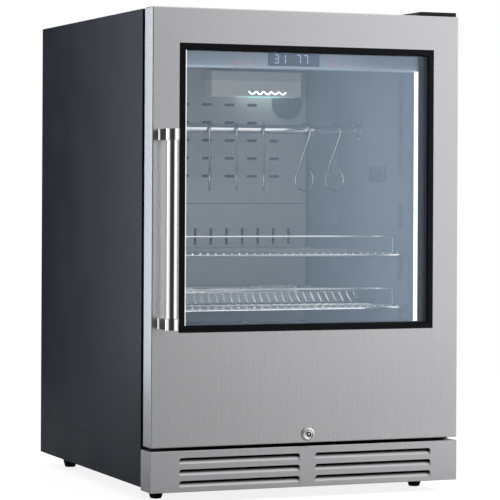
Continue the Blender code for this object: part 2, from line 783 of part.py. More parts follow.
def power_inlet():
    """Appliance inlet with its flange inside the rear cover, an open shroud and three pins."""
    face = BACK_Y - SHEET - SEAM
    half = INLET_WIDTH / 2
    rise = INLET_RISE / 2
    flange = block(
        INLET_X - half - INLET_FLANGE,
        INLET_X + half + INLET_FLANGE,
        face - INLET_FLANGE / 2,
        face,
        INLET_HEIGHT - rise - INLET_FLANGE,
        INLET_HEIGHT + rise + INLET_FLANGE,
    )
    body = block(
        INLET_X - half,
        INLET_X + half,
        face - INLET_BODY,
        BACK_Y,
        INLET_HEIGHT - rise,
        INLET_HEIGHT + rise,
    )
    inlet = weld(body, flange)
    wall = INLET_FLANGE / 2
    well = block(
        INLET_X - half + wall,
        INLET_X + half - wall,
        face - INLET_BODY + wall,
        BACK_Y + CUT,
        INLET_HEIGHT - rise + wall,
        INLET_HEIGHT + rise - wall,
    )
    inlet = carve(inlet, well)
    for offset, lift in ((-half / 2, -rise / 4), (0.0, rise / 4), (half / 2, -rise / 4)):
        x = INLET_X + offset
        z = INLET_HEIGHT + lift
        pin = block(
            x - INLET_PIN / 2,
            x + INLET_PIN / 2,
            face - INLET_BODY + wall / 2,
            face - INLET_FLANGE,
            z - INLET_PIN,
            z + INLET_PIN,
        )
        inlet = weld(inlet, pin)
    finish(inlet, "power_inlet", BLACK_PLASTIC)


def base_pan():
    """Base tray whose upturned sides are the skirt below the side seam, with a bush for each foot."""
    tray = block(-HALF, HALF, FRAME_Y, BACK_Y, BASE_BOTTOM_Z, PLINTH_TOP_Z)
    hollow = block(
        -HALF + SHEET,
        HALF - SHEET,
        FRAME_Y + SHEET,
        BACK_Y - SHEET,
        BAY_FLOOR_Z,
        PLINTH_TOP_Z + CUT,
    )
    mouth = block(
        -HALF + FLANGE,
        HALF - FLANGE,
        FRAME_Y - CUT,
        FRAME_Y + SHEET + CUT,
        BAY_FLOOR_Z + FRONT_LIP,
        PLINTH_TOP_Z + CUT,
    )
    tray = carve(tray, hollow, mouth)
    bush_top = BASE_BOTTOM_Z + FOOT_BUSH_LENGTH
    for foot in foot_places():
        place = (foot[0], foot[1], 0.0)
        bush = rod("Z", place, FOOT_BUSH_RADIUS, BASE_BOTTOM_Z, bush_top, 10)
        bore = rod("Z", place, STEM_RADIUS + SEAM, BASE_BOTTOM_Z - CUT, bush_top + CUT, 10)
        tray = carve(weld(tray, bush), bore)
    finish(tray, "base_pan", DARK_SHEET)


def foot_places():
    front = FRAME_Y + FOOT_FRONT_DEPTH
    rear = FRAME_Y + FOOT_REAR_DEPTH
    return (
        (-FOOT_X, front, "front_left"),
        (FOOT_X, front, "front_right"),
        (-FOOT_X, rear, "rear_left"),
        (FOOT_X, rear, "rear_right"),
    )


def levelling_foot(x, y, place):
    """Tapered disc, hexagon and threaded stem, screwed fully in."""
    collar_top = BASE_BOTTOM_Z - SEAM
    disc = turned(
        [
            (FOOT_SOLE_RADIUS, 0.0),
            (FOOT_TOP_RADIUS, FOOT_DISC_HEIGHT * FOOT_FLARE_SHARE),
            (FOOT_TOP_RADIUS, FOOT_DISC_HEIGHT * FOOT_RIM_SHARE),
            (FOOT_TOP_RADIUS * FOOT_RIM_SHARE, FOOT_DISC_HEIGHT),
            (FOOT_HEX_RADIUS, FOOT_DISC_HEIGHT),
            (FOOT_HEX_RADIUS, collar_top),
            (STEM_RADIUS, collar_top),
            (STEM_RADIUS, collar_top + STEM_LENGTH),
        ],
        "Z",
        (x, y, 0),
        12,
    )
    finish(disc, "foot_" + place, BLACK_PLASTIC, axis_point=(x, y, collar_top))


def toe_grille():
    """Folded stainless grille with two columns of louvres pressed inwards, open along the top."""
    shell = block(-HALF, HALF, DOOR_FACE_Y, FRAME_Y - SEAM, FLOOR_CLEARANCE, GRILLE_TOP_Z)
    shell = soften(shell, GRILLE_EDGE_RADIUS, segments=1)
    hollow = block(
        -HALF + GRILLE_SHEET,
        HALF - GRILLE_SHEET,
        DOOR_FACE_Y + GRILLE_SHEET,
        FRAME_Y + CUT,
        FLOOR_CLEARANCE + GRILLE_SHEET,
        GRILLE_TOP_Z - GRILLE_SHEET,
    )
    shell = carve(shell, hollow)
    scoops = []
    mouths = []
    throats = []
    face = DOOR_FACE_Y
    for column in (-1, 1):
        middle = column * (LOUVRE_COLUMN_GAP + LOUVRE_LENGTH) / 2
        left = middle - LOUVRE_LENGTH / 2
        right = middle + LOUVRE_LENGTH / 2
        for row in range(LOUVRE_ROWS):
            top = GRILLE_TOP_Z - LOUVRE_TOP_MARGIN - row * LOUVRE_PITCH
            low = top - LOUVRE_HEIGHT
            edge = GRILLE_SHEET
            scoop = [
                (face + edge / 2, low - edge),
                (face + edge, low - edge),
                (face + LOUVRE_DEPTH + edge, top + edge / 2),
                (face + edge / 2, top + edge / 2),
            ]
            scoops.append(extruded(scoop, "X", left - edge, right + edge))
            throat = [
                (face + edge + SEAM, low + SEAM),
                (face + LOUVRE_DEPTH, top + edge / 2),
                (face + LOUVRE_DEPTH, top + 2 * edge),
                (face + edge + SEAM, top + 2 * edge),
            ]
            throats.append(extruded(throat, "X", left + SEAM, right - SEAM))
            quarter = math.pi / 2
            round_z = top - LOUVRE_CORNER
            mouth = [(left, low), (right, low)]
            mouth += arc((right - LOUVRE_CORNER, round_z), LOUVRE_CORNER, 0, quarter, 3)
            mouth += arc((left + LOUVRE_CORNER, round_z), LOUVRE_CORNER, quarter, 2 * quarter, 3)
            mouths.append(extruded(mouth, "Y", face - CUT, face + edge + 2 * SEAM))
    shell = weld(shell, joined(scoops))
    shell = carve(shell, joined(throats), joined(mouths), cam_passage())
    finish(shell, "toe_grille", STEEL)


def cam_passage():
    """Slot in the top of the toe grille, through which the lock cam drops."""
    reach = CAM_LENGTH + CAM_WIDTH / 2
    low_y = DOOR_BACK_Y + CAM_STANDOFF - CAM_THICKNESS / 2
    return block(
        -reach,
        CAM_WIDTH,
        low_y,
        low_y + 2 * CAM_THICKNESS,
        GRILLE_TOP_Z - 2 * GRILLE_SHEET,
        GRILLE_TOP_Z + CUT,
    )


def front_frame():
    """Steel face of the cabinet round the opening, which the gasket meets."""
    half = HALF - FLANGE - SEAM
    high = CABINET_TOP_Z - TOP_FLANGE - SEAM
    low = PLINTH_TOP_Z + SEAM
    frame = ring_plate(
        half, low, high, LINER_HALF, LINER_FLOOR_HEIGHT, LINER_TOP_HEIGHT, FRAME_Y, FRAME_Y + SHEET
    )
    finish(frame, "front_frame", BLACK_PLASTIC)


def rib_cutters(side, y0, y1):
    """The spaces between the stretches of one shelf rib."""
    inner = side * (LINER_HALF - RIB_THICKNESS - CUT)
    outer = side * LINER_HALF
    cutters = []
    for level in range(SHELF_LEVELS):
        low = shelf_seat(level)
        cutters.append(
            block(min(inner, outer), max(inner, outer), y0 - CUT, y1 + CUT, low, low + NOTCH_HEIGHT)
        )
    return cutters


def shelf_seat(level):
    return LINER_FLOOR_HEIGHT + LOWEST_SHELF_RISE + level * SHELF_PITCH


def liner():
    """Inner box with a pocket for the evaporator and notched ribs that carry the shelves."""
    front = FRAME_Y + SHEET + SEAM
    outer = block(
        -LINER_HALF - LINER_WALL,
        LINER_HALF + LINER_WALL,
        front,
        LINER_BACK_Y + LINER_WALL,
        LINER_FLOOR_HEIGHT - LINER_WALL,
        LINER_TOP_HEIGHT + LINER_WALL,
    )
    box = weld(outer, pocket_block(LINER_WALL))
    hollow = block(
        -LINER_HALF, LINER_HALF, front - CUT, LINER_BACK_Y, LINER_FLOOR_HEIGHT, LINER_TOP_HEIGHT
    )
    box = carve(box, weld(hollow, pocket_block(0.0)))
    for side in (-1, 1):
        for depth in (FRONT_RIB_DEPTH, REAR_RIB_DEPTH):
            y0 = FRAME_Y + depth
            y1 = y0 + RIB_WIDTH
            root = side * (LINER_HALF + RIB_ROOT)
            crest = side * (LINER_HALF - RIB_THICKNESS)
            rib = extruded(
                [(root, y0), (crest, y0 + RIB_ROOT), (crest, y1 - RIB_ROOT), (root, y1)],
                "Z",
                LINER_FLOOR_HEIGHT + RIB_FLOOR_GAP,
                LINER_TOP_HEIGHT - RIB_TOP_GAP,
            )
            rib = carve(rib, *rib_cutters(side, y0, y1))
            box = weld(box, rib)
    finish(box, "liner", LINER_GREY)


def pocket_block(growth):
    """The evaporator pocket behind the back wall, reaching into the main box to merge with it."""
    return block(
        -POCKET_HALF - growth,
        POCKET_HALF + growth,
        LINER_BACK_Y - POCKET_MARGIN,
        LINER_BACK_Y + POCKET_DEPTH + growth,
        LINER_FLOOR_HEIGHT + POCKET_MARGIN - growth,
        LINER_TOP_HEIGHT - POCKET_MARGIN + growth,
    )


def insulation():
    """Foam between the outer sheets and the liner."""
    front = FRAME_Y + SHEET + SEAM
    rear = BACK_Y - BACK_RECESS - SHEET - SEAM
    high = CABINET_TOP_Z - SHEET - SEAM
    foam = block(-INNER_HALF, INNER_HALF, front, rear, BAY_CEILING_HEIGHT, high)
    gap = LINER_WALL + SEAM
    hollow = block(
        -LINER_HALF - gap,
        LINER_HALF + gap,
        front - CUT,
        LINER_BACK_Y + gap,
        LINER_FLOOR_HEIGHT - gap,
        LINER_TOP_HEIGHT + gap,
    )
    finish(carve(foam, weld(hollow, pocket_block(gap))), "insulation", FOAM)


def shelf_wires(level):
    """Rails, cross wires and a raised guard rail of one wire shelf."""
    z = shelf_seat(level) + SEAM + RAIL_RADIUS
    y0 = FRAME_Y + SHELF_FRONT_DEPTH
    y1 = y0 + SHELF_LENGTH
    half = SHELF_HALF
    loop = [(x, y, z) for x, y in rounded_rectangle(-half, half, y0, y1, SHELF_CORNER, 2)]
    frame = tube(loop, RAIL_RADIUS, 6, closed=True)
    brace_y = (y0 + y1) / 2
    brace_z = z - WELD_DEPTH - SEAM
    brace_half = half - WELD_DEPTH
    brace = tube([(-brace_half, brace_y, brace_z), (brace_half, brace_y, brace_z)], RAIL_RADIUS, 6)
    frame = weld(frame, brace)
    wire_z = z + RAIL_RADIUS + CROSS_WIRE_RADIUS - WELD_DEPTH
    count = int((2 * half - 2 * SHELF_CORNER) / CROSS_WIRE_PITCH / 2)
    wires = []
    start_y = y0 - WELD_DEPTH
    end_y = y1 + WELD_DEPTH
    for index in range(-count, count + 1):
        x = index * CROSS_WIRE_PITCH
        wires.append(tube([(x, start_y, wire_z), (x, end_y, wire_z)], CROSS_WIRE_RADIUS, 4))
    frame = weld(frame, joined(wires))
    guard_x = half - GUARD_INSET
    guard_y = y0 + GUARD_SETBACK
    bend = RAIL_RADIUS * 2
    guard_z = z + GUARD_RISE
    leg_z = z - WELD_DEPTH / 2
    guard = tube(
        [
            (-guard_x, guard_y, leg_z),
            (-guard_x, guard_y, guard_z - bend),
            (-guard_x + bend, guard_y, guard_z),
            (guard_x - bend, guard_y, guard_z),
            (guard_x, guard_y, guard_z - bend),
            (guard_x, guard_y, leg_z),
        ],
        GUARD_RADIUS,
        6,
    )
    return weld(frame, guard)


def shelf(name, level):
    z = shelf_seat(level)
    finish(shelf_wires(level), name, WIRE, axis_point=(0.0, FRAME_Y + SHELF_FRONT_DEPTH, z))


def tray(half_x, y0, y1, low, height, flare, wall, lip, corner):
    """A flared tray with a turned-out rim, from matching rounded outlines."""
    high = low + height
    outside = [(-flare, low), (0.0, high - wall), (lip, high - wall)]
    inside = [(lip, high), (-wall, high), (-flare - wall, low + wall)]
    builder = bmesh.new()
    rings = []
    for grow, z in outside + inside:
        outline = rounded_rectangle(
            -half_x - grow, half_x + grow, y0 - grow, y1 + grow, max(corner + grow, wall), 3
        )
        rings.append([builder.verts.new((x, y, z)) for x, y in outline])
    for under, over in zip(rings, rings[1:]):
        bridge(builder, under, over)
    builder.faces.new(rings[0])
    builder.faces.new(rings[-1])
    return solid(builder)


def pan():
    """Shallow stainless pan that stands on the lower shelf."""
    stand = shelf_seat(0) + SEAM + 2 * RAIL_RADIUS + 2 * CROSS_WIRE_RADIUS - WELD_DEPTH + SEAM
    y0 = FRAME_Y + SHELF_FRONT_DEPTH + PAN_SETBACK
    piece = tray(
        PAN_LENGTH / 2,
        y0,
        y0 + PAN_DEPTH,
        stand,
        PAN_HEIGHT,
        PAN_FLARE,
        PAN_WALL,
        PAN_LIP,
        PAN_CORNER,
    )
    shelf_point = (0.0, FRAME_Y + SHELF_FRONT_DEPTH, shelf_seat(0))
    finish(piece, "stainless_pan", POLISHED, axis_point=shelf_point)


def dish():
    """Round stainless dish on the floor of the cold compartment."""
    low = LINER_FLOOR_HEIGHT + SEAM
    high = low + DISH_HEIGHT
    rim = DISH_RADIUS - DISH_LIP
    foot = rim - DISH_FLARE
    profile = [
        (0.0, low),
        (foot, low),
        (rim, high - PAN_WALL),
        (DISH_RADIUS, high - PAN_WALL),
        (DISH_RADIUS, high),
        (rim - PAN_WALL, high),
        (foot - PAN_WALL, low + PAN_WALL),
        (0.0, low + PAN_WALL),
    ]
    piece = turned(profile, "Z", (DISH_X, FRAME_Y + DISH_DEPTH, 0.0), 24)
    finish(piece, "floor_dish", POLISHED)


def hanging_rod():
    half = LINER_HALF - SOCKET_FLANGE - SEAM
    finish(rod("X", (0.0, ROD_Y, ROD_HEIGHT), ROD_RADIUS, -half, half, 20), "hanging_rod", POLISHED)


def rod_socket(side):
    """Wall flange with a collar that takes the end of the rod."""
    wall = side * (LINER_HALF - SEAM)
    face = side * (LINER_HALF - SOCKET_FLANGE)
    tip = side * (LINER_HALF - SOCKET_COLLAR_LENGTH)
    bore = ROD_RADIUS + SEAM
    profile = [
        (0.0, wall),
        (SOCKET_FLANGE_RADIUS, wall),
        (SOCKET_FLANGE_RADIUS, face),
        (SOCKET_COLLAR_RADIUS, face),
        (SOCKET_COLLAR_RADIUS, tip),
        (bore, tip),
        (bore, face),
        (0.0, face),
    ]
    piece = turned(profile, "X", (0.0, ROD_Y, ROD_HEIGHT), 20)
    name = "rod_socket_left" if side < 0 else "rod_socket_right"
    finish(piece, name, POLISHED)


def hook_path():
    """The S in its own plane, about the rod axis: eye, straight shank, bowl and short tip."""
    eye_drop = HOOK_EYE_RADIUS - HOOK_WIRE_RADIUS - ROD_RADIUS - SEAM
    eye = (0.0, -eye_drop)
    bowl = (0.0, -eye_drop - HOOK_DROP)
    lean = math.asin((HOOK_EYE_RADIUS + HOOK_BOWL_RADIUS) / HOOK_DROP)
    points = arc(eye, HOOK_EYE_RADIUS, HOOK_EYE_SWEEP - lean, -lean, 9)
    points += arc(bowl, HOOK_BOWL_RADIUS, math.pi - lean, 2 * math.pi + HOOK_BOWL_END, 9)
    tip_angle = HOOK_BOWL_END + math.pi / 2
    last = points[-1]
    tip_x = last[0] + HOOK_TIP_LENGTH * math.cos(tip_angle)
    tip_z = last[1] + HOOK_TIP_LENGTH * math.sin(tip_angle)
    points.append((tip_x, tip_z))
    return hang_plumb(points)


def hang_plumb(points):
    """Turn the path about the rod until its centre of mass hangs below the rod."""
    total = 0.0
    moment = [0.0, 0.0]
    for start, end in zip(points, points[1:]):
        length = math.dist(start, end)
        total += length
        for index in (0, 1):
            moment[index] += length * (start[index] + end[index]) / 2
    swing = math.atan2(moment[0], -moment[1])
    turn_cos = math.cos(-swing)
    turn_sin = math.sin(-swing)
    return [(x * turn_cos - z * turn_sin, x * turn_sin + z * turn_cos) for x, z in points]


def hook_places():
    """Place along the rod and turn of each hook."""
    near = [(LINER_HALF * share, NEAR_HOOK_TURN) for share in NEAR_HOOK_SHARES]
    far = [(LINER_HALF * share, FAR_HOOK_TURN) for share in FAR_HOOK_SHARES]
    return near + far


def meat_hook(number, x, turn):
    """One S-hook hung over the rod, its upright plane turned a little from square across it."""
    across = (math.sin(turn), math.cos(turn))
    path = []
    for out, up in hook_path():
        path.append((x + out * across[0], ROD_Y - out * across[1], ROD_HEIGHT + up))
    piece = tube(path, HOOK_WIRE_RADIUS, 6)
    finish(piece, "meat_hook_%d" % number, POLISHED, axis_point=(x, ROD_Y, ROD_HEIGHT))


def rear_cover(name, low, high, cutters):
    """Shallow sheet tray over the evaporator, its rim against the back wall, with vent slots."""
    rim = LINER_BACK_Y - SEAM
    cover = block(-COVER_HALF, COVER_HALF, COVER_FACE_Y, rim, low, high)
    hollow = block(
        -COVER_HALF + REAR_COVER_SHEET,
        COVER_HALF - REAR_COVER_SHEET,
        COVER_FACE_Y + REAR_COVER_SHEET,
        rim + CUT,
        low + REAR_COVER_SHEET,
        high - REAR_COVER_SHEET,
    )
    finish(carve(cover, hollow, joined(cutters)), name, LINER_GREY)


def vent(x, z, length, width, upright=False):
    outline = slot_outline(x, z, length, width, upright, steps=2)
    return extruded(outline, "Y", COVER_FACE_Y - CUT, COVER_FACE_Y + REAR_COVER_SHEET + CUT)


def upper_rear_cover():
    """Plain rows of short slots, and a round hole for the filter."""
    low = COVER_SPLIT_HEIGHT + SEAM
    high = COVER_TOP_HEIGHT
    cutters = [
        rod(
            "Y",
            (FILTER_X, 0.0, FILTER_HEIGHT),
            FILTER_RADIUS + SEAM,
            COVER_FACE_Y - CUT,
            COVER_FACE_Y + REAR_COVER_SHEET + CUT,
            20,
        )
    ]
    for row in range(VENT_ROWS):
        z = high - VENT_TOP_GAP - row * VENT_ROW_PITCH
        for column in range(VENT_COLUMNS):
            x = (column - (VENT_COLUMNS - 1) / 2) * VENT_COLUMN_PITCH
            near_filter = math.dist((x, z), (FILTER_X, FILTER_HEIGHT)) < FILTER_RADIUS + VENT_LENGTH
            if not near_filter:
                cutters.append(vent(x, z, VENT_LENGTH, VENT_WIDTH))
    rear_cover("rear_cover_upper", low, high, cutters)


def lower_rear_cover():
    """One row of upright slots near the upper edge."""
    low = LINER_FLOOR_HEIGHT + COVER_FLOOR_GAP
    high = COVER_SPLIT_HEIGHT - SEAM
    cutters = []
    for column in range(LOW_VENT_COLUMNS):
        x = (column - (LOW_VENT_COLUMNS - 1) / 2) * LOW_VENT_PITCH
        cutters.append(vent(x, high - LOW_VENT_TOP_GAP, LOW_VENT_LENGTH, VENT_WIDTH, upright=True))
    rear_cover("rear_cover_lower", low, high, cutters)


def carbon_filter():
    """Round filter cartridge, set flush in the rear cover and held by a flange behind its sheet."""
    face = COVER_FACE_Y + SEAM
    shoulder = COVER_FACE_Y + REAR_COVER_SHEET + SEAM
    profile = [
        (0.0, face),
        (FILTER_RADIUS * FILTER_FACE_SHARE, face),
        (FILTER_RADIUS, face + REAR_COVER_SHEET / 2),
        (FILTER_RADIUS, shoulder),
        (FILTER_FLANGE_RADIUS, shoulder),
        (FILTER_FLANGE_RADIUS, shoulder + FILTER_FLANGE),
        (FILTER_RADIUS, shoulder + FILTER_FLANGE),
        (FILTER_RADIUS, face + FILTER_THICKNESS),
        (0.0, face + FILTER_THICKNESS),
    ]
    finish(turned(profile, "Y", (FILTER_X, 0.0, FILTER_HEIGHT), 20), "carbon_filter", BLACK_PLASTIC)


def lamp_housing():
    """Folded box on the upper rear cover, open below, with a zigzag light slot low on its front."""
    right = LAMP_LEFT + LAMP_LENGTH
    rear = COVER_FACE_Y - SEAM
    front = COVER_FACE_Y - LAMP_DEPTH
    high = LAMP_BOTTOM_HEIGHT + LAMP_HEIGHT
    box = block(LAMP_LEFT, right, front, rear, LAMP_BOTTOM_HEIGHT, high)
    hollow = block(
        LAMP_LEFT + LAMP_WALL,
        right - LAMP_WALL,
        front + LAMP_WALL,
        rear - LAMP_WALL,
        LAMP_BOTTOM_HEIGHT - CUT,
        high - LAMP_WALL,
    )
    upper_edge = []
    lower_edge = []
    for index in range(2 * ZIGZAG_TEETH + 1):
        x = LAMP_LEFT + ZIGZAG_START + index * ZIGZAG_PITCH / 2
        z = LAMP_BOTTOM_HEIGHT + ZIGZAG_RISE + (ZIGZAG_HEIGHT if index % 2 == 0 else 0.0)
        lower_edge.append((x, z))
        upper_edge.append((x, z + ZIGZAG_BAND))
    zigzag = extruded(lower_edge + upper_edge[::-1], "Y", front - CUT, front + LAMP_WALL + CUT)
    finish(carve(box, hollow, zigzag), "lamp_housing", WARM_SHEET)


def lamp():
    """Lamp tube with an end cap at each end, held between the ends of the housing."""
    start = LAMP_LEFT + LAMP_WALL + SEAM
    end = LAMP_LEFT + LAMP_LENGTH - LAMP_WALL - SEAM
    profile = [
        (0.0, start),
        (TUBE_CAP_RADIUS, start),
        (TUBE_CAP_RADIUS, start + TUBE_CAP_LENGTH),
        (TUBE_RADIUS, start + TUBE_CAP_LENGTH),
        (TUBE_RADIUS, end - TUBE_CAP_LENGTH),
        (TUBE_CAP_RADIUS, end - TUBE_CAP_LENGTH),
        (TUBE_CAP_RADIUS, end),
        (0.0, end),
    ]
    centre = (0.0, COVER_FACE_Y - LAMP_DEPTH / 2, LAMP_BOTTOM_HEIGHT + TUBE_RISE)
    finish(turned(profile, "X", centre, 12), "lamp_tube", LIGHT)


def control_fascia():
    """Housing across the top of the opening, with a recess for the display window."""
    front = FRAME_Y + FASCIA_DEPTH
    rear = front + FASCIA_THICKNESS
    high = LINER_TOP_HEIGHT - SEAM
    low = high - FASCIA_HEIGHT
    quarter = math.pi / 2
    corner = (front + FASCIA_CORNER, low + FASCIA_CORNER)
    outline = arc(corner, FASCIA_CORNER, 2 * quarter, 3 * quarter, 3)
    outline += [(rear, low), (rear, high), (front, high)]
    half = LINER_HALF - SEAM
    body = extruded(outline, "X", -half, half)
    display_low = low + DISPLAY_RISE
    recess = block(
        -DISPLAY_HALF - SEAM,
        DISPLAY_HALF + SEAM,
        front - CUT,
        front + DISPLAY_RECESS,
        display_low - SEAM,
        display_low + DISPLAY_HEIGHT + SEAM,
    )
    finish(carve(body, recess), "control_fascia", FASCIA_GREY)
    window = block(
        -DISPLAY_HALF,
        DISPLAY_HALF,
        front,
        front + DISPLAY_RECESS - SEAM,
        display_low,
        display_low + DISPLAY_HEIGHT,
    )
    finish(soften(window, SEAM, segments=1), "display_window", BLACK_PLASTIC)


def light_bar(side):
    """Diffuser strip down the front of one side wall, with chamfered edges."""
    wall = side * (LINER_HALF - SEAM)
    crest = side * (LINER_HALF - LIGHT_THICKNESS)
    y0 = FRAME_Y + LIGHT_DEPTH
    y1 = y0 + LIGHT_WIDTH
    outline = [(wall, y0), (crest, y0 + LIGHT_CHAMFER), (crest, y1 - LIGHT_CHAMFER), (wall, y1)]
    low = LINER_FLOOR_HEIGHT + LIGHT_FLOOR_GAP
    bar = extruded(outline, "Z", low, low + LIGHT_HEIGHT)
    finish(bar, "light_bar_left" if side < 0 else "light_bar_right", LIGHT)


def humidity_sensor():
    """Flat sensor cover on the right wall, with three slots across its face."""
    y0 = FRAME_Y + SENSOR_DEPTH
    low = LINER_FLOOR_HEIGHT + SENSOR_RISE
    wall = LINER_HALF - SEAM
    crest = LINER_HALF - SENSOR_THICKNESS
    body = block(crest, wall, y0, y0 + SENSOR_WIDTH, low, low + SENSOR_HEIGHT)
    body = soften(body, SENSOR_THICKNESS / 4, segments=1)
    pitch = SENSOR_HEIGHT / (SENSOR_SLOTS + 1)
    margin = SENSOR_WIDTH / 8
    cutters = []
    for index in range(SENSOR_SLOTS):
        z = low + (index + 1) * pitch
        half_slot = SENSOR_SLOT_HEIGHT / 2
        cutters.append(
            block(
                crest - CUT,
                crest + SENSOR_THICKNESS / 2,
                y0 + margin,
                y0 + SENSOR_WIDTH - margin,
                z - half_slot,
                z + half_slot,
            )
        )
    finish(carve(body, joined(cutters)), "humidity_sensor", FASCIA_GREY)


def serpentine(x0, x1, y, low, runs, pitch):
    """Points of a tube that runs to and fro across X, with half-round bends."""
    points = []
    for run in range(runs):
        z = low + run * pitch
        ends = (x0, x1) if run % 2 == 0 else (x1, x0)
        points.append((ends[0], y, z))
        points.append((ends[1], y, z))
        if run < runs - 1:
            outward = 1 if ends[1] > ends[0] else -1
            bend = arc((0.0, 0.0), pitch / 2, -math.pi / 2, math.pi / 2, 3)
            for out, up in bend[1:-1]:
                points.append((ends[1] + outward * out, y, z + pitch / 2 + up))
    return points


def coil(name, x0, x1, y, low, runs, pitch, radius, plate_low, plate_y, look):
    """Serpentine tube held by two end plates."""
    coiled = tube(serpentine(x0, x1, y, low, runs, pitch), radius, 5)
    high = low + (runs - 1) * pitch + COIL_PLATE_MARGIN
    half = COIL_PLATE / 2
    for x in (x0 + COIL_PLATE_MARGIN, x1 - COIL_PLATE_MARGIN):
        plate = block(x - half, x + half, plate_y[0], plate_y[1], plate_low, high)
        coiled = weld(coiled, plate)
    finish(coiled, name, look)


def condenser():
    y = FRAME_Y + CONDENSER_DEPTH
    coil(
        "condenser",
        CONDENSER_LEFT,
        CONDENSER_LEFT + CONDENSER_LENGTH,
        y,
        BAY_FLOOR_Z + CONDENSER_RISE,
        CONDENSER_RUNS,
        CONDENSER_PITCH,
        CONDENSER_TUBE_RADIUS,
        BAY_FLOOR_Z + SEAM,
        (y - COIL_PLATE_DEPTH / 2, y + COIL_PLATE_DEPTH / 2),
        MACHINE_BLACK,
    )


def evaporator():
    pocket_back = LINER_BACK_Y + POCKET_DEPTH
    y = pocket_back - COIL_PLATE_DEPTH / 2
    coil(
        "evaporator",
        -EVAPORATOR_HALF,
        EVAPORATOR_HALF,
        y,
        LINER_FLOOR_HEIGHT + EVAPORATOR_RISE,
        EVAPORATOR_RUNS,
        EVAPORATOR_PITCH,
        EVAPORATOR_TUBE_RADIUS,
        LINER_FLOOR_HEIGHT + EVAPORATOR_RISE - COIL_PLATE_MARGIN,
        (y - COIL_PLATE_DEPTH / 4, pocket_back - SEAM),
        COPPER,
    )


def fan_frame(name, x, front, z, size, thickness, foot_low=None):
    """Square axial fan frame: round bore, motor hub and four struts at the back."""
    half = size / 2
    bore = half * FAN_BORE_SHARE
    corner = size * FAN_CORNER_SHARE
    rear = front + thickness
    outline = rounded_rectangle(x - half, x + half, z - half, z + half, corner, 2)
    frame = extruded(outline, "Y", front, rear)
    frame = carve(frame, rod("Y", (x, 0.0, z), bore, front - CUT, rear + CUT, 20))
    hub = rod("Y", (x, 0.0, z), half * FAN_HUB_SHARE, rear - FAN_STRUT, rear - SEAM, 12)
    reach = bore + (half - bore) / 2
    arm = FAN_STRUT / 2
    arm_front = rear - FAN_STRUT
    lateral = block(x - reach, x + reach, arm_front, rear - 2 * SEAM, z - arm, z + arm)
    upright = block(x - arm, x + arm, arm_front, rear - 3 * SEAM, z - reach, z + reach)
    frame = weld(frame, weld(hub, lateral, upright))
    if foot_low is not None:
        third = thickness / 3
        foot_high = z - half + corner / 2
        foot = block(x - half, x + half, front + third, rear - third, foot_low, foot_high)
        frame = weld(frame, foot)
    finish(frame, name, BLACK_PLASTIC)


def fan_rotor(name, x, front, z, size, thickness):
    """Hub with pitched blades, its back against the motor hub of the frame."""
    half = size / 2
    hub_radius = half * FAN_HUB_SHARE
    tip = half * FAN_BORE_SHARE - FAN_TIP_CLEARANCE
    hub_front = front + FAN_STRUT / 2
    hub_rear = front + thickness - FAN_STRUT - SEAM
    hub = turned(
        [
            (0.0, hub_front),
            (hub_radius * HUB_NOSE_SHARE, hub_front),
            (hub_radius, hub_front + FAN_STRUT / 2),
            (hub_radius, hub_rear),
            (0.0, hub_rear),
        ],
        "Y",
        (x, 0.0, z),
        16,
    )
    middle = (hub_front + hub_rear) / 2
    chord = (hub_rear - hub_front) * BLADE_FILL_SHARE / math.sin(BLADE_ROOT_PITCH)
    blades = []
    for number in range(BLADE_COUNT):
        spin = 2 * math.pi * number / BLADE_COUNT
        blades.append(blade(x, middle, z, hub_radius * BLADE_ROOT_SHARE, tip, chord, spin))
    finish(weld(hub, joined(blades)), name, BLACK_PLASTIC, axis_point=(x, middle, z))


def blade(x, y, z, root, tip, chord, spin):
    """Lofted plate whose pitch eases from the hub to the tip."""
    builder = bmesh.new()
    rings = []
    stations = 3
    for station in range(stations + 1):
        share = station / stations
        radius = root + (tip - root) * share
        pitch = BLADE_ROOT_PITCH + (BLADE_TIP_PITCH - BLADE_ROOT_PITCH) * share
        half_chord = chord / 2
        half_plate = BLADE_THICKNESS / 2
        ring = []
        for along, through in ((-1, -1), (1, -1), (1, 1), (-1, 1)):
            tangent = along * half_chord * math.cos(pitch) - through * half_plate * math.sin(pitch)
            axial = along * half_chord * math.sin(pitch) + through * half_plate * math.cos(pitch)
            outward = math.sqrt(max(radius * radius - tangent * tangent, root * root / 4))
            px = outward * math.cos(spin) - tangent * math.sin(spin)
            pz = outward * math.sin(spin) + tangent * math.cos(spin)
            ring.append(builder.verts.new((x + px, y + axial, z + pz)))
        rings.append(ring)
    for low, high in zip(rings, rings[1:]):
        bridge(builder, low, high)
    builder.faces.new(rings[0])
    builder.faces.new(rings[-1])
    return solid(builder)


def fans():
    bay_z = BAY_FLOOR_Z + BAY_FAN_FOOT + BAY_FAN_SIZE / 2
    bay_front = FRAME_Y + BAY_FAN_DEPTH
    bay = (BAY_FAN_X, bay_front, bay_z, BAY_FAN_SIZE, BAY_FAN_THICKNESS)
    fan_frame("condenser_fan_frame", *bay, foot_low=BAY_FLOOR_Z + SEAM)
    fan_rotor("condenser_fan_rotor", *bay)
    cold_front = COVER_FACE_Y + REAR_COVER_SHEET + SEAM
    cold = (COLD_FAN_X, cold_front, COLD_FAN_HEIGHT, COLD_FAN_SIZE, COLD_FAN_THICKNESS)
    fan_frame("evaporator_fan_frame", *cold)
    fan_rotor("evaporator_fan_rotor", *cold)


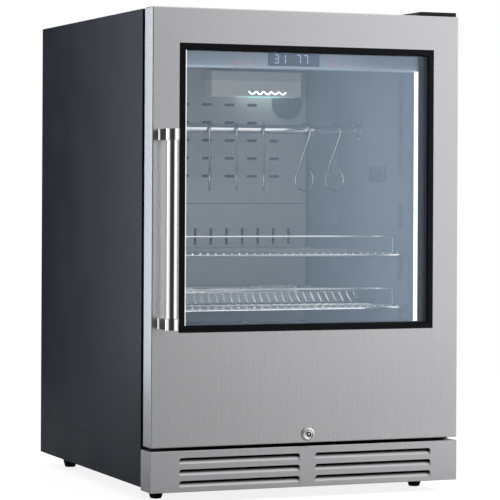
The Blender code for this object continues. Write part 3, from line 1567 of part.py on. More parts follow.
def compressor():
    """Hermetic shell with a seam flange, a foot plate on four grommets and a terminal box."""
    x = COMPRESSOR_X
    y = FRAME_Y + COMPRESSOR_DEPTH
    stand = BAY_FLOOR_Z + SEAM
    low = stand + COMPRESSOR_FOOT
    radius = COMPRESSOR_RADIUS
    profile = [(0.0, low)]
    for share, rise_share in COMPRESSOR_SIDE_SHARES:
        profile.append((radius * share, low + COMPRESSOR_HEIGHT * rise_share))
    dome_steps = 5
    dome_height = COMPRESSOR_HEIGHT * COMPRESSOR_DOME_SHARE
    dome_low = low + COMPRESSOR_HEIGHT - dome_height
    for step in range(1, dome_steps):
        angle = math.pi / 2 * step / dome_steps
        across = COMPRESSOR_WALL_SHARE * radius * math.cos(angle)
        profile.append((across, dome_low + dome_height * math.sin(angle)))
    profile.append((0.0, low + COMPRESSOR_HEIGHT))
    shell = turned(profile, "Z", (0.0, y, 0.0), 18)
    for vertex in shell.data.vertices:
        vertex.co.x = x + vertex.co.x * COMPRESSOR_NARROW_SHARE
    half = COMPRESSOR_PLATE_HALF
    outline = rounded_rectangle(
        x - half, x + half, y - radius, y + radius, COMPRESSOR_PLATE_CORNER, 2
    )
    shell = weld(shell, extruded(outline, "Z", low - SHEET, low + 2 * SHEET))
    grommet_x = half - COMPRESSOR_FOOT
    grommet_y = radius - COMPRESSOR_FOOT
    for side_x in (-1, 1):
        for side_y in (-1, 1):
            place = (x + side_x * grommet_x, y + side_y * grommet_y, 0.0)
            shell = weld(shell, rod("Z", place, COMPRESSOR_FOOT / 2, stand, low + 3 * SHEET, 8))
    box = block(
        x - TERMINAL_HALF,
        x + TERMINAL_HALF,
        y - radius * TERMINAL_FRONT_SHARE,
        y - radius * TERMINAL_BACK_SHARE,
        low + TERMINAL_RISE,
        low + TERMINAL_RISE + TERMINAL_HEIGHT,
    )
    shell = weld(shell, soften(box, TERMINAL_EDGE, segments=1))
    finish(shell, "compressor", MACHINE_BLACK)


def evaporation_pan():
    """Open drip pan on the bay floor."""
    y0 = FRAME_Y + DRIP_DEPTH - DRIP_WIDTH / 2
    piece = tray(
        DRIP_LENGTH / 2,
        y0,
        y0 + DRIP_WIDTH,
        BAY_FLOOR_Z + SEAM,
        DRIP_HEIGHT,
        DRIP_WALL * 2,
        DRIP_WALL,
        DRIP_WALL,
        DRIP_HEIGHT / 2,
    )
    piece.data.transform(Matrix.Translation((DRIP_X, 0.0, 0.0)))
    finish(piece, "evaporation_pan", BLACK_PLASTIC)


def door_skin(carrier):
    """Stainless door skin folded back on four sides, with the window opening and the lock hole."""
    skin = block(-HALF, HALF, DOOR_FACE_Y, DOOR_BACK_Y, DOOR_BOTTOM_Z, DOOR_TOP_Z)
    skin = soften(skin, DOOR_EDGE_RADIUS, segments=2)
    hollow = block(
        -HALF + SHEET,
        HALF - SHEET,
        DOOR_FACE_Y + SHEET,
        DOOR_BACK_Y + CUT,
        DOOR_BOTTOM_Z + SHEET,
        DOOR_TOP_Z - SHEET,
    )
    inset = TRIM_NECK_INSET - SEAM
    window = block(
        -WINDOW_HALF + inset,
        WINDOW_HALF - inset,
        DOOR_FACE_Y - CUT,
        DOOR_FACE_Y + SHEET + CUT,
        WINDOW_LOW_Z + inset,
        WINDOW_HIGH_Z - inset,
    )
    lock = lock_hole(DOOR_FACE_Y - CUT, DOOR_FACE_Y + SHEET + CUT)
    skin = carve(skin, hollow, window, lock, *pin_holes())
    finish(skin, "door_skin", STEEL, DOOR_AXIS, carrier)


def lock_hole(y0, y1):
    return rod("Y", (0.0, 0.0, LOCK_Z), LOCK_BARREL_RADIUS + SEAM, y0, y1, 16)


def pin_holes():
    """The two bores in which the hinge pins turn."""
    place = (HINGE_X, HINGE_Y, 0.0)
    radius = PIN_RADIUS + SEAM
    depth = PIN_LENGTH + CUT
    low = rod("Z", place, radius, DOOR_BOTTOM_Z - CUT, DOOR_BOTTOM_Z + depth, 16)
    high = rod("Z", place, radius, DOOR_TOP_Z - depth, DOOR_TOP_Z + CUT, 16)
    return low, high


def door_core(carrier):
    """Foamed core with the inner panel, rebated for the double glazing."""
    gap = SHEET + SEAM
    core = block(
        -HALF + gap,
        HALF - gap,
        DOOR_FACE_Y + gap,
        DOOR_BACK_Y,
        DOOR_BOTTOM_Z + gap,
        DOOR_TOP_Z - gap,
    )
    lap = GLASS_LAP + SEAM
    rebate_back = glass_planes()[3] + SEAM
    rebate = window_block(lap, DOOR_FACE_Y, rebate_back)
    opening = window_block(0.0, DOOR_FACE_Y, DOOR_BACK_Y + CUT)
    lock = lock_hole(DOOR_FACE_Y, DOOR_BACK_Y + CUT)
    core = carve(core, rebate, opening, lock, *pin_holes())
    finish(core, "door_core", FASCIA_GREY, DOOR_AXIS, carrier)


def window_block(grow, y0, y1):
    """The clear window opening, grown on all four sides."""
    return block(
        -WINDOW_HALF + TRIM_WIDTH - grow,
        WINDOW_HALF - TRIM_WIDTH + grow,
        y0,
        y1,
        WINDOW_LOW_Z + TRIM_WIDTH - grow,
        WINDOW_HIGH_Z - TRIM_WIDTH + grow,
    )


def glass_planes():
    """Front and back of the outer pane, then of the inner pane."""
    outer_front = DOOR_FACE_Y + TRIM_NECK_DEPTH + SEAM
    outer_back = outer_front + GLASS_THICKNESS
    inner_front = outer_back + GLASS_SPACER
    return outer_front, outer_back, inner_front, inner_front + GLASS_THICKNESS


def window_trim(carrier):
    """Black frame round the window: a sloping lip over the skin and a neck down to the glass."""
    lip = block(
        -WINDOW_HALF,
        WINDOW_HALF,
        DOOR_FACE_Y - TRIM_PROUD,
        DOOR_FACE_Y - SEAM,
        WINDOW_LOW_Z,
        WINDOW_HIGH_Z,
    )
    lip = soften(lip, TRIM_PROUD * TRIM_ROUND_SHARE, segments=2)
    inset = TRIM_NECK_INSET
    neck = block(
        -WINDOW_HALF + inset,
        WINDOW_HALF - inset,
        DOOR_FACE_Y - TRIM_PROUD / 2,
        DOOR_FACE_Y + TRIM_NECK_DEPTH,
        WINDOW_LOW_Z + inset,
        WINDOW_HIGH_Z - inset,
    )
    trim = weld(lip, neck)
    trim = carve(trim, window_block(0.0, DOOR_FACE_Y - TRIM_PROUD - CUT, DOOR_BACK_Y))
    finish(trim, "window_trim", BLACK_PLASTIC, DOOR_AXIS, carrier)


def glazing(carrier):
    """Two panes with a spacer frame between them."""
    outer_front, outer_back, inner_front, inner_back = glass_planes()
    outer = soften(window_block(GLASS_LAP, outer_front, outer_back), SEAM * 2, segments=1)
    finish(outer, "glass_outer", GLASS, DOOR_AXIS, carrier)
    inner = soften(window_block(GLASS_LAP, inner_front, inner_back), SEAM * 2, segments=1)
    finish(inner, "glass_inner", GLASS, DOOR_AXIS, carrier)
    spacer = window_block(SPACER_WIDTH, outer_back + SEAM, inner_front - SEAM)
    spacer = carve(spacer, window_block(0.0, outer_back - CUT, inner_front + CUT))
    finish(spacer, "glass_spacer", GALVANISED, DOOR_AXIS, carrier)


def gasket(carrier):
    """Magnetic gasket round the cold opening, with a narrower sealing lip towards the frame."""
    inner_half = LINER_HALF + GASKET_LAP
    inner_low = LINER_FLOOR_HEIGHT - GASKET_LAP
    inner_high = LINER_TOP_HEIGHT + GASKET_LAP
    y0 = DOOR_BACK_Y + SEAM
    y1 = FRAME_Y - SEAM
    waist = y0 + (y1 - y0) / 2
    width = GASKET_WIDTH
    base = ring_plate(
        inner_half + width,
        inner_low - width,
        inner_high + width,
        inner_half,
        inner_low,
        inner_high,
        y0,
        waist,
    )
    lip = GASKET_LIP
    bulb = ring_plate(
        inner_half + width - lip,
        inner_low - width + lip,
        inner_high + width - lip,
        inner_half + lip,
        inner_low - lip,
        inner_high + lip,
        waist - SHEET,
        y1,
    )
    finish(weld(base, bulb), "gasket", RUBBER, DOOR_AXIS, carrier)


def handle(carrier):
    """Round bar between two posts, each with a narrow neck and a spigot in the bar."""
    x = -HANDLE_X
    y = DOOR_FACE_Y - HANDLE_STANDOFF
    low = DOOR_BOTTOM_Z + HANDLE_LOW_RISE
    high = low + HANDLE_LENGTH
    bar_low = low + POST_HEIGHT + SEAM
    bar_high = high - POST_HEIGHT - SEAM
    bore = SPIGOT_RADIUS + SEAM
    profile = [
        (HANDLE_BAR_RADIUS, bar_low),
        (HANDLE_BAR_RADIUS, bar_high),
        (bore, bar_high),
        (bore, bar_low),
    ]
    bar = turned(profile, "Z", (x, y, 0.0), 20, closed_ring=True)
    finish(bar, "handle_bar", POLISHED, DOOR_AXIS, carrier)
    for name, z0, upward in (("handle_post_low", low, 1), ("handle_post_top", high, -1)):
        z1 = z0 + upward * POST_HEIGHT
        outline = arc((x, y), POST_WIDTH / 2, math.pi, 2 * math.pi, 10)
        outline += [
            (x + POST_WAIST / 2, y + POST_WIDTH / 2),
            (x + POST_WAIST / 2, DOOR_FACE_Y - POST_WAIST / 2),
            (x + POST_WIDTH / 2, DOOR_FACE_Y - SEAM),
            (x - POST_WIDTH / 2, DOOR_FACE_Y - SEAM),
            (x - POST_WAIST / 2, DOOR_FACE_Y - POST_WAIST / 2),
            (x - POST_WAIST / 2, y + POST_WIDTH / 2),
        ]
        post = extruded(outline, "Z", min(z0, z1), max(z0, z1))
        post = soften(post, SHEET, segments=1, angle=POST_BEVEL_ANGLE)
        tip = z1 + upward * SPIGOT_LENGTH
        root = z1 - upward * SHEET
        post = weld(post, rod("Z", (x, y, 0.0), SPIGOT_RADIUS, min(root, tip), max(root, tip), 12))
        finish(post, name, POLISHED, DOOR_AXIS, carrier)


def lock(carrier):
    """Tubular key lock: flanged body through the door, and a plug with its cam behind the door."""
    front = DOOR_FACE_Y - LOCK_PROUD
    rear = DOOR_BACK_Y + SEAM
    rim = LOCK_PROUD / 4
    body = turned(
        [
            (LOCK_BORE_RADIUS, front),
            (LOCK_FLANGE_RADIUS - rim, front),
            (LOCK_FLANGE_RADIUS, front + rim),
            (LOCK_FLANGE_RADIUS, DOOR_FACE_Y - SEAM),
            (LOCK_BARREL_RADIUS, DOOR_FACE_Y - SEAM),
            (LOCK_BARREL_RADIUS, rear),
            (LOCK_BORE_RADIUS, rear),
        ],
        "Y",
        (0.0, 0.0, LOCK_Z),
        20,
        closed_ring=True,
    )
    finish(body, "lock_body", POLISHED, DOOR_AXIS, carrier)
    radius = LOCK_BORE_RADIUS - SEAM
    face = front + SEAM
    cam_front = DOOR_BACK_Y + CAM_STANDOFF
    plug = turned(
        [
            (0.0, face),
            (KEYWAY_INNER, face),
            (KEYWAY_INNER, face + KEYWAY_DEPTH),
            (KEYWAY_OUTER, face + KEYWAY_DEPTH),
            (KEYWAY_OUTER, face),
            (radius, face),
            (radius, cam_front + CAM_THICKNESS),
            (0.0, cam_front + CAM_THICKNESS),
        ],
        "Y",
        (0.0, 0.0, LOCK_Z),
        16,
    )
    half = CAM_WIDTH / 2
    outline = arc((0.0, LOCK_Z), half + CAM_THICKNESS, math.pi / 2, -math.pi / 2, 6)
    outline += [
        (-CAM_LENGTH, LOCK_Z - half),
        (-CAM_LENGTH - half / 2, LOCK_Z),
        (-CAM_LENGTH, LOCK_Z + half),
    ]
    cam = extruded(outline, "Y", cam_front, cam_front + CAM_THICKNESS - SEAM / 2)
    centre = (0.0, cam_front, LOCK_Z)
    finish(weld(plug, cam), "lock_plug", POLISHED, centre, carrier)


def top_hinge_parts():
    """Left, right and rear limits of the top hinge plate."""
    right = HALF - COVER_MARGIN
    left = right - TOP_PLATE_LENGTH
    rear = FRAME_Y + TOP_PLATE_REACH
    return left, right, rear


def top_hinge_solid(grow):
    """Plate on the cabinet top with an arm over the door, grown on all sides by a clearance."""
    left, right, rear = top_hinge_parts()
    low = CABINET_TOP_Z + SEAM - grow
    arm_low = DOOR_TOP_Z + SEAM - grow
    high = DOOR_TOP_Z + SEAM + HINGE_PLATE + grow
    shoulder = FRAME_Y + HINGE_PLATE
    plate = block(left - grow, right + grow, shoulder - grow, rear + grow, low, high)
    arm_left = HINGE_X - HINGE_ARM_HALF
    arm_right = HINGE_X + HINGE_ARM_HALF
    arm = [
        (arm_left - grow, rear - HINGE_PLATE),
        (arm_left - grow, HINGE_Y),
        (HINGE_X, HINGE_Y - HINGE_ARM_HALF - grow),
        (arm_right + grow, HINGE_Y),
        (arm_right + grow, rear - HINGE_PLATE),
    ]
    return weld(plate, extruded(arm, "Z", arm_low, high - SEAM / 2))


def top_hinge():
    """Hinge plate with its pin pointing down into the door, under a low moulded cover."""
    plate = top_hinge_solid(0.0)
    pin = rod(
        "Z",
        (HINGE_X, HINGE_Y, 0.0),
        PIN_RADIUS,
        DOOR_TOP_Z - PIN_LENGTH,
        DOOR_TOP_Z + SEAM + HINGE_PLATE / 2,
        12,
    )
    finish(weld(plate, pin), "top_hinge_bracket", MACHINE_BLACK)
    left, right, rear = top_hinge_parts()
    outer_left = left - COVER_WALL - SEAM - COVER_TAPER
    outer_right = right + COVER_WALL + SEAM
    outer_front = HINGE_Y - HINGE_ARM_HALF - COVER_WALL - SEAM - COVER_TAPER / 2
    outer_rear = rear + COVER_WALL + SEAM
    high = CABINET_TOP_Z + SEAM + COVER_HEIGHT
    profile = [
        (outer_left, DOOR_TOP_Z + SEAM),
        (outer_right, DOOR_TOP_Z + SEAM),
        (outer_right, high),
        (outer_left + COVER_TAPER, high),
    ]
    cover = soften(extruded(profile, "Y", outer_front, outer_rear), SHEET, segments=2)
    foot = block(
        outer_left + COVER_WALL,
        outer_right - COVER_WALL / 2,
        FRAME_Y + SEAM,
        outer_rear - COVER_WALL / 2,
        CABINET_TOP_Z + SEAM,
        DOOR_TOP_Z + 2 * SHEET,
    )
    cover = weld(cover, foot)
    cavity = top_hinge_solid(SEAM)
    below = block(
        HINGE_X - HINGE_ARM_HALF - SEAM,
        HINGE_X + HINGE_ARM_HALF + SEAM,
        HINGE_Y - PIN_RADIUS,
        FRAME_Y + 2 * HINGE_PLATE,
        DOOR_TOP_Z - CUT,
        DOOR_TOP_Z + SEAM + HINGE_PLATE / 2,
    )
    finish(carve(cover, weld(cavity, below)), "top_hinge_cover", BLACK_PLASTIC)


def bottom_hinge():
    """Angle on the front frame with an arm under the door and a pin pointing up into it."""
    leaf_back = FRAME_Y - SEAM
    leaf_front = leaf_back - HINGE_PLATE
    middle_z = (GRILLE_TOP_Z + DOOR_BOTTOM_Z) / 2
    arm_low = middle_z - HINGE_PLATE / 2
    arm_high = middle_z + HINGE_PLATE / 2
    right = HALF - COVER_MARGIN
    left = right - HINGE_LEAF_WIDTH
    leaf = block(left, right, leaf_front, leaf_back, arm_low, arm_low + HINGE_LEAF_HEIGHT)
    arm_left = HINGE_X - 2 * HINGE_ARM_HALF
    outline = [(arm_left, leaf_front + HINGE_PLATE / 2)]
    outline += arc((HINGE_X, HINGE_Y), HINGE_ARM_HALF, math.pi, 2 * math.pi, 6)
    outline += [(HINGE_X + HINGE_ARM_HALF, leaf_front + HINGE_PLATE / 2)]
    arm = extruded(outline, "Z", arm_low + SEAM / 2, arm_high)
    pin = rod("Z", (HINGE_X, HINGE_Y, 0.0), PIN_RADIUS, middle_z, DOOR_BOTTOM_Z + PIN_LENGTH, 12)
    finish(weld(leaf, arm, pin), "bottom_hinge_bracket", MACHINE_BLACK)


def build():
    for obj in list(bpy.data.objects):
        bpy.data.objects.remove(obj)
    for side in (-1, 1):
        side_panel(side)
        rod_socket(side)
        light_bar(side)
    top_panel()
    back_panel()
    rear_service_cover()
    power_inlet()
    base_pan()
    for x, y, place in foot_places():
        levelling_foot(x, y, place)
    toe_grille()
    front_frame()
    liner()
    insulation()
    shelf("shelf_lower", 0)
    shelf("shelf_upper", 1)
    pan()
    dish()
    hanging_rod()
    for number, (x, turn) in enumerate(hook_places(), 1):
        meat_hook(number, x, turn)
    upper_rear_cover()
    lower_rear_cover()
    carbon_filter()
    lamp_housing()
    lamp()
    control_fascia()
    humidity_sensor()
    condenser()
    evaporator()
    fans()
    compressor()
    evaporation_pan()
    top_hinge()
    bottom_hinge()
    door = joint_empty("door_axis", DOOR_AXIS)
    door_skin(door)
    door_core(door)
    window_trim(door)
    glazing(door)
    gasket(door)
    handle(door)
    lock(door)


build()
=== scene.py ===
"""Dry aging cabinet: materials, fine pieces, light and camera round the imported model.

Lengths are metres in the part's own frame: X to the right, Y to the back, Z up from the floor.
"""

import math

import bmesh
import bpy
from mathutils import Matrix, Vector


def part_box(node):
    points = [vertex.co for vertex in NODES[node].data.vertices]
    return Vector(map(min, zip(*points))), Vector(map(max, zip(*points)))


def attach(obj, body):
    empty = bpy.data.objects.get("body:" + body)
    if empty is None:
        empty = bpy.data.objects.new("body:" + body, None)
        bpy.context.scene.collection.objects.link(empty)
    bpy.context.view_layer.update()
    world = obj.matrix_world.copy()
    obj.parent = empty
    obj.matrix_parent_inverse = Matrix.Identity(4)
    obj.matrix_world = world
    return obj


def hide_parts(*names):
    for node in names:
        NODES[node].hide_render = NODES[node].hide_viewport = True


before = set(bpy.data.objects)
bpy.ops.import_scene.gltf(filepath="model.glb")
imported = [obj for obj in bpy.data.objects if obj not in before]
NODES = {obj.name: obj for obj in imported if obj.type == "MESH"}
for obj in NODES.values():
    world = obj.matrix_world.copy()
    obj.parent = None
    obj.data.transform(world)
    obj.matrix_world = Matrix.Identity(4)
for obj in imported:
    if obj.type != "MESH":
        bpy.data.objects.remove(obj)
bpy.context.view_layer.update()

# small gap between neighbouring pieces
SEAM = 0.0003


# ---- shader tools


def new_material(name, colour, rough, metal=0.0, level=0.5):
    mat = bpy.data.materials.new(name)
    mat.use_nodes = True
    tree = mat.node_tree
    shader = tree.nodes["Principled BSDF"]
    shader.inputs["Base Color"].default_value = (*colour, 1.0)
    shader.inputs["Roughness"].default_value = rough
    shader.inputs["Metallic"].default_value = metal
    shader.inputs["Specular IOR Level"].default_value = level
    mat.diffuse_color = (*colour, 1.0)
    return mat, tree, shader


def feed(tree, node, inputs):
    """Give a node's inputs, by name or number, a value or another node's output."""
    for key, value in inputs.items():
        if isinstance(value, bpy.types.NodeSocket):
            tree.links.new(value, node.inputs[key])
        else:
            node.inputs[key].default_value = value


def add_node(tree, kind, inputs):
    node = tree.nodes.new("ShaderNode" + kind)
    feed(tree, node, inputs)
    return node


def own_place(tree, axis=None):
    """The object's own coordinates, or one of them."""
    place = add_node(tree, "TexCoord", {}).outputs["Object"]
    if axis is None:
        return place
    return add_node(tree, "SeparateXYZ", {"Vector": place}).outputs[axis]


def maths(tree, operation, *values):
    node = add_node(tree, "Math", dict(enumerate(values)))
    node.operation = operation
    return node.outputs[0]


def object_noise(tree, scale, detail, rough=0.5):
    """Noise in the object's own coordinates, with one scale or one for each axis."""
    scale = scale if isinstance(scale, tuple) else (scale,) * 3
    mapping = add_node(tree, "Mapping", {"Vector": own_place(tree), "Scale": scale})
    place = mapping.outputs["Vector"]
    inputs = {"Vector": place, "Scale": 1.0, "Detail": detail, "Roughness": rough}
    return add_node(tree, "TexNoise", inputs).outputs["Fac"]


def mapped(tree, value, low_in, high_in, low_out=0.0, high_out=1.0):
    inputs = {"From Min": low_in, "From Max": high_in, "To Min": low_out, "To Max": high_out}
    return add_node(tree, "MapRange", {"Value": value, **inputs}).outputs["Result"]


def blended(tree, factor, first, second):
    """A colour between two, by a factor; either may be a socket."""
    node = tree.nodes.new("ShaderNodeMix")
    node.data_type = "RGBA"
    tree.links.new(factor, node.inputs["Factor"])
    for socket, colour in ((node.inputs["A"], first), (node.inputs["B"], second)):
        if isinstance(colour, tuple):
            socket.default_value = (*colour, 1.0)
        else:
            tree.links.new(colour, socket)
    return node.outputs["Result"]


def bumped(tree, shader, height, distance, strength):
    inputs = {"Height": height, "Distance": distance, "Strength": strength}
    feed(tree, shader, {"Normal": add_node(tree, "Bump", inputs).outputs["Normal"]})


def scaled(colour, factor):
    return tuple(min(channel * factor, 1.0) for channel in colour)


# ---- kinds of surface

TONE_EDGE = 0.001
# share of the film kept right of the pane's edge: painted shade over the dark reveal
PAINTED_SHADE_FILM = 0.46


def brushed_steel(name, colour, rough, grain, contrast, bump):
    """Steel with fine straight brush lines along the axis that has the small grain scale."""
    mat, tree, shader = new_material(name, colour, rough, 1.0)
    fine = object_noise(tree, grain, 4.0, 0.65)
    broad = object_noise(tree, tuple(part * 0.16 for part in grain), 2.0)
    cloud = object_noise(tree, 5.0, 1.0)
    line = mapped(tree, fine, 0.25, 0.75)
    base = blended(tree, line, scaled(colour, 1.0 - contrast), scaled(colour, 1.0 + contrast))
    band = mapped(tree, broad, 0.3, 0.7, 0.0, 0.35)
    base = blended(tree, band, base, scaled(colour, 1.0 + contrast * 0.8))
    haze = mapped(tree, cloud, 0.35, 0.65, 0.0, 0.18)
    base = blended(tree, haze, base, scaled(colour, 0.92))
    spread = mapped(tree, fine, 0.25, 0.75, rough - 0.025, rough + 0.03)
    feed(tree, shader, {"Base Color": base, "Roughness": spread})
    bumped(tree, shader, fine, 0.0002, bump)
    return mat


def polished_steel(name, colour, rough, grain=40.0):
    """Bright steel with faint wiping marks."""
    mat, tree, shader = new_material(name, colour, rough, 1.0)
    marks = object_noise(tree, grain, 3.0)
    tone = mapped(tree, marks, 0.3, 0.7)
    base = blended(tree, tone, scaled(colour, 0.94), scaled(colour, 1.03))
    spread = mapped(tree, marks, 0.3, 0.7, max(rough - 0.03, 0.02), rough + 0.04)
    feed(tree, shader, {"Base Color": base, "Roughness": spread})
    return mat


def painted(name, colour, rough, grit, bump, level=0.4, mottle=0.12):
    """Powder coat or moulded plastic: a fine pebbled surface with faint broad mottling."""
    mat, tree, shader = new_material(name, colour, rough, 0.0, level)
    pebble = object_noise(tree, grit, 2.0)
    broad = object_noise(tree, 9.0, 3.0)
    speck = mapped(tree, pebble, 0.3, 0.7)
    base = blended(tree, speck, scaled(colour, 1.0 - mottle), scaled(colour, 1.0 + mottle))
    cloud = mapped(tree, broad, 0.35, 0.65, 0.0, 0.5)
    base = blended(tree, cloud, base, scaled(colour, 1.0 - mottle * 0.6))
    spread = mapped(tree, broad, 0.3, 0.7, rough - 0.04, rough + 0.05)
    feed(tree, shader, {"Base Color": base, "Roughness": spread})
    bumped(tree, shader, pebble, 0.00015, bump)
    return mat


def zinc_sheet(name, colour, rough):
    """Galvanised sheet with its crystal spangle."""
    mat, tree, shader = new_material(name, colour, rough, 1.0)
    cells = add_node(tree, "TexVoronoi", {"Vector": own_place(tree), "Scale": 110.0})
    tone = add_node(tree, "SeparateColor", {"Color": cells.outputs["Color"]})
    base = blended(tree, tone.outputs["Red"], scaled(colour, 0.86), scaled(colour, 1.08))
    spread = mapped(tree, tone.outputs["Green"], 0.0, 1.0, rough - 0.08, rough + 0.08)
    feed(tree, shader, {"Base Color": base, "Roughness": spread})
    return mat


def tinted_pane(name, colour, alpha, edge=None):
    """A coated pane: a thin bright film that lets most of what is behind it through.

    Right of the edge, if one is given, the film is painted fainter over the window's dark reveal: a
    painted shade.
    """
    mat, tree, shader = new_material(name, colour, 0.03, 1.0)
    film = mapped(tree, object_noise(tree, (2.2, 2.2, 1.6), 2.0), 0.35, 0.65)
    base = blended(tree, film, scaled(colour, 0.95), scaled(colour, 1.05))
    if edge is not None:
        beyond = mapped(tree, own_place(tree, "X"), edge - TONE_EDGE, edge + TONE_EDGE)
        base = blended(tree, beyond, base, scaled(colour, PAINTED_SHADE_FILM))
    tree.links.new(base, shader.inputs["Base Color"])
    shader.inputs["Alpha"].default_value = alpha
    mat.use_transparency_overlap = True
    mat.surface_render_method = "BLENDED"
    return mat


def lit(name, colour, strength, centre=None, reach=1.0, low=0.0):
    """A glowing surface; round a centre in X, if one is given, the glow falls off to low."""
    mat, tree, shader = new_material(name, scaled(colour, 0.9), 0.35)
    shader.inputs["Emission Color"].default_value = (*colour, 1.0)
    if centre is None:
        cells = object_noise(tree, 60.0, 1.0)
        glow = mapped(tree, cells, 0.3, 0.7, strength * 0.94, strength * 1.04)
    else:
        away = maths(tree, "ABSOLUTE", maths(tree, "SUBTRACT", own_place(tree, "X"), centre))
        glow = mapped(tree, away, reach * 0.7, reach, strength, low)
    tree.links.new(glow, shader.inputs["Emission Strength"])
    return mat


def overlay(mat, factor, colour):
    """Another colour over a material's own base colour, by a factor from its own tree."""
    tree = mat.node_tree
    socket = tree.nodes["Principled BSDF"].inputs["Base Color"]
    tree.links.new(blended(tree, factor, socket.links[0].from_socket, colour), socket)


def paint_louvre_shade(mat, reach, shallow, deep):
    """Painted shade in the louvres' throats: darker by depth behind the face and within a reach of
    the middle.
    """
    tree = mat.node_tree
    side = maths(tree, "ABSOLUTE", own_place(tree, "X"))
    inside = mapped(tree, side, reach, reach + TONE_EDGE, 1.0, 0.0)
    behind = mapped(tree, own_place(tree, "Y"), shallow, deep)
    overlay(mat, maths(tree, "MULTIPLY", behind, inside), (0.012, 0.012, 0.013))


def paint_shade_above(mat, height, colour):
    """Painted shade above a height, where a folded sheet turns away from the light."""
    tree = mat.node_tree
    up = own_place(tree, "Z")
    overlay(mat, mapped(tree, up, height - TONE_EDGE, height + TONE_EDGE), colour)


# ---- materials
# brushed_steel: colour, roughness, grain, contrast, bump
# polished_steel: colour, roughness, grain
# painted: colour, roughness, grit, bump, specular level, mottle

STEEL = brushed_steel(
    "brushed_stainless", (0.60, 0.60, 0.608), 0.27, (1100.0, 1100.0, 1.4), 0.028, 0.02
)
GRILLE_STEEL = brushed_steel(
    "grille_stainless", (0.585, 0.587, 0.595), 0.29, (1100.0, 1100.0, 1.8), 0.028, 0.02
)
HANDLE_STEEL = brushed_steel(
    "handle_stainless", (0.82, 0.81, 0.80), 0.10, (500.0, 500.0, 5.0), 0.03, 0.03
)
BRIGHT = polished_steel("polished_stainless", (0.80, 0.80, 0.79), 0.10)
PAN_STEEL = polished_steel("pan_stainless", (0.66, 0.65, 0.62), 0.12, 70.0)
WIRE = polished_steel("shelf_wire_steel", (0.93, 0.94, 0.94), 0.20, 120.0)
HOOK_STEEL = polished_steel("hook_steel", (0.38, 0.38, 0.37), 0.20, 150.0)
SOCKET_STEEL = polished_steel("socket_steel", (0.60, 0.62, 0.65), 0.45, 90.0)
LOCK_DARK = polished_steel("lock_core_metal", (0.035, 0.035, 0.038), 0.30, 200.0)
ZINC_SCREW = polished_steel("screw_zinc", (0.62, 0.62, 0.60), 0.28, 200.0)
BRASS = polished_steel("plated_pin", (0.70, 0.66, 0.55), 0.25, 90.0)
BEAD = polished_steel("bead_steel", (0.86, 0.86, 0.85), 0.16, (60.0, 60.0, 20.0))
ZINC = zinc_sheet("zinc_sheet", (0.50, 0.51, 0.52), 0.45)
# near-white matt paint for the wire ends and the dish rim: a painted highlight
PAINTED_GLINT = painted("painted_glint_white", (0.92, 0.94, 0.95), 0.40, 900.0, 0.05, 0.5, 0.02)
CHARCOAL = painted(
    "charcoal_powder_coat", (0.0060, 0.0084, 0.0145), 0.36, 900.0, 0.05, 0.17, 0.04
)
FRAME_BLACK = painted("black_frame_paint", (0.010, 0.010, 0.012), 0.42, 800.0, 0.15)
BLACK = painted("black_satin_plastic", (0.008, 0.008, 0.009), 0.42, 1100.0, 0.20, 0.2)
TRIM_BLACK = painted("black_gloss_trim", (0.004, 0.004, 0.005), 0.22, 300.0, 0.02, 0.08)
# dark copy of the bead for the window's right side: painted shade
BEAD_PAINTED_SHADE = painted("bead_painted_shade", (0.045, 0.050, 0.065), 0.30, 300.0, 0.02, 0.2, 0.02)
LINER = painted("liner_plastic", (0.25, 0.285, 0.33), 0.40, 500.0, 0.05, 0.35, 0.02)
COVER = painted("cover_paint", (0.42, 0.43, 0.42), 0.45, 600.0, 0.06, 0.35, 0.02)
FASCIA = painted("fascia_plastic", (0.70, 0.82, 0.95), 0.42, 700.0, 0.05, 0.35, 0.02)
SENSOR = painted("sensor_plastic", (0.16, 0.19, 0.25), 0.45, 700.0, 0.06, 0.35, 0.03)
DOOR_INNER = painted("door_inner_plastic", (0.05, 0.053, 0.06), 0.42, 700.0, 0.12, 0.4, 0.05)
WARM = painted("lamp_sheet_paint", (0.96, 0.95, 0.88), 0.42, 700.0, 0.05, 0.35, 0.02)
# dark lining behind the rear covers: the dark housing there, and painted shade in the pocket
POCKET_DARK_AND_SHADE = painted("duct_lining_and_painted_shade", (0.018, 0.020, 0.024), 0.80, 400.0, 0.40, 0.1, 0.10)
BEZEL = painted("bezel_film", (0.014, 0.017, 0.026), 0.45, 700.0, 0.05, 0.3, 0.04)
FIN_COAT = painted("fin_coating", (0.030, 0.034, 0.040), 0.45, 500.0, 0.20, 0.25, 0.10)
FILTER_GREY = painted("filter_mesh", (0.12, 0.14, 0.165), 0.60, 1200.0, 0.35, 0.2, 0.12)
RUBBER = painted("gasket_rubber", (0.018, 0.018, 0.020), 0.65, 500.0, 0.30, 0.3)
FOAM = painted("foam", (0.55, 0.45, 0.24), 0.90, 350.0, 0.6, 0.2, 0.10)
ENAMEL = painted("black_enamel", (0.012, 0.012, 0.013), 0.25, 200.0, 0.05, 0.5)
DISPLAY = painted("display_window_film", (0.075, 0.105, 0.155), 0.20, 900.0, 0.03, 0.4, 0.05)
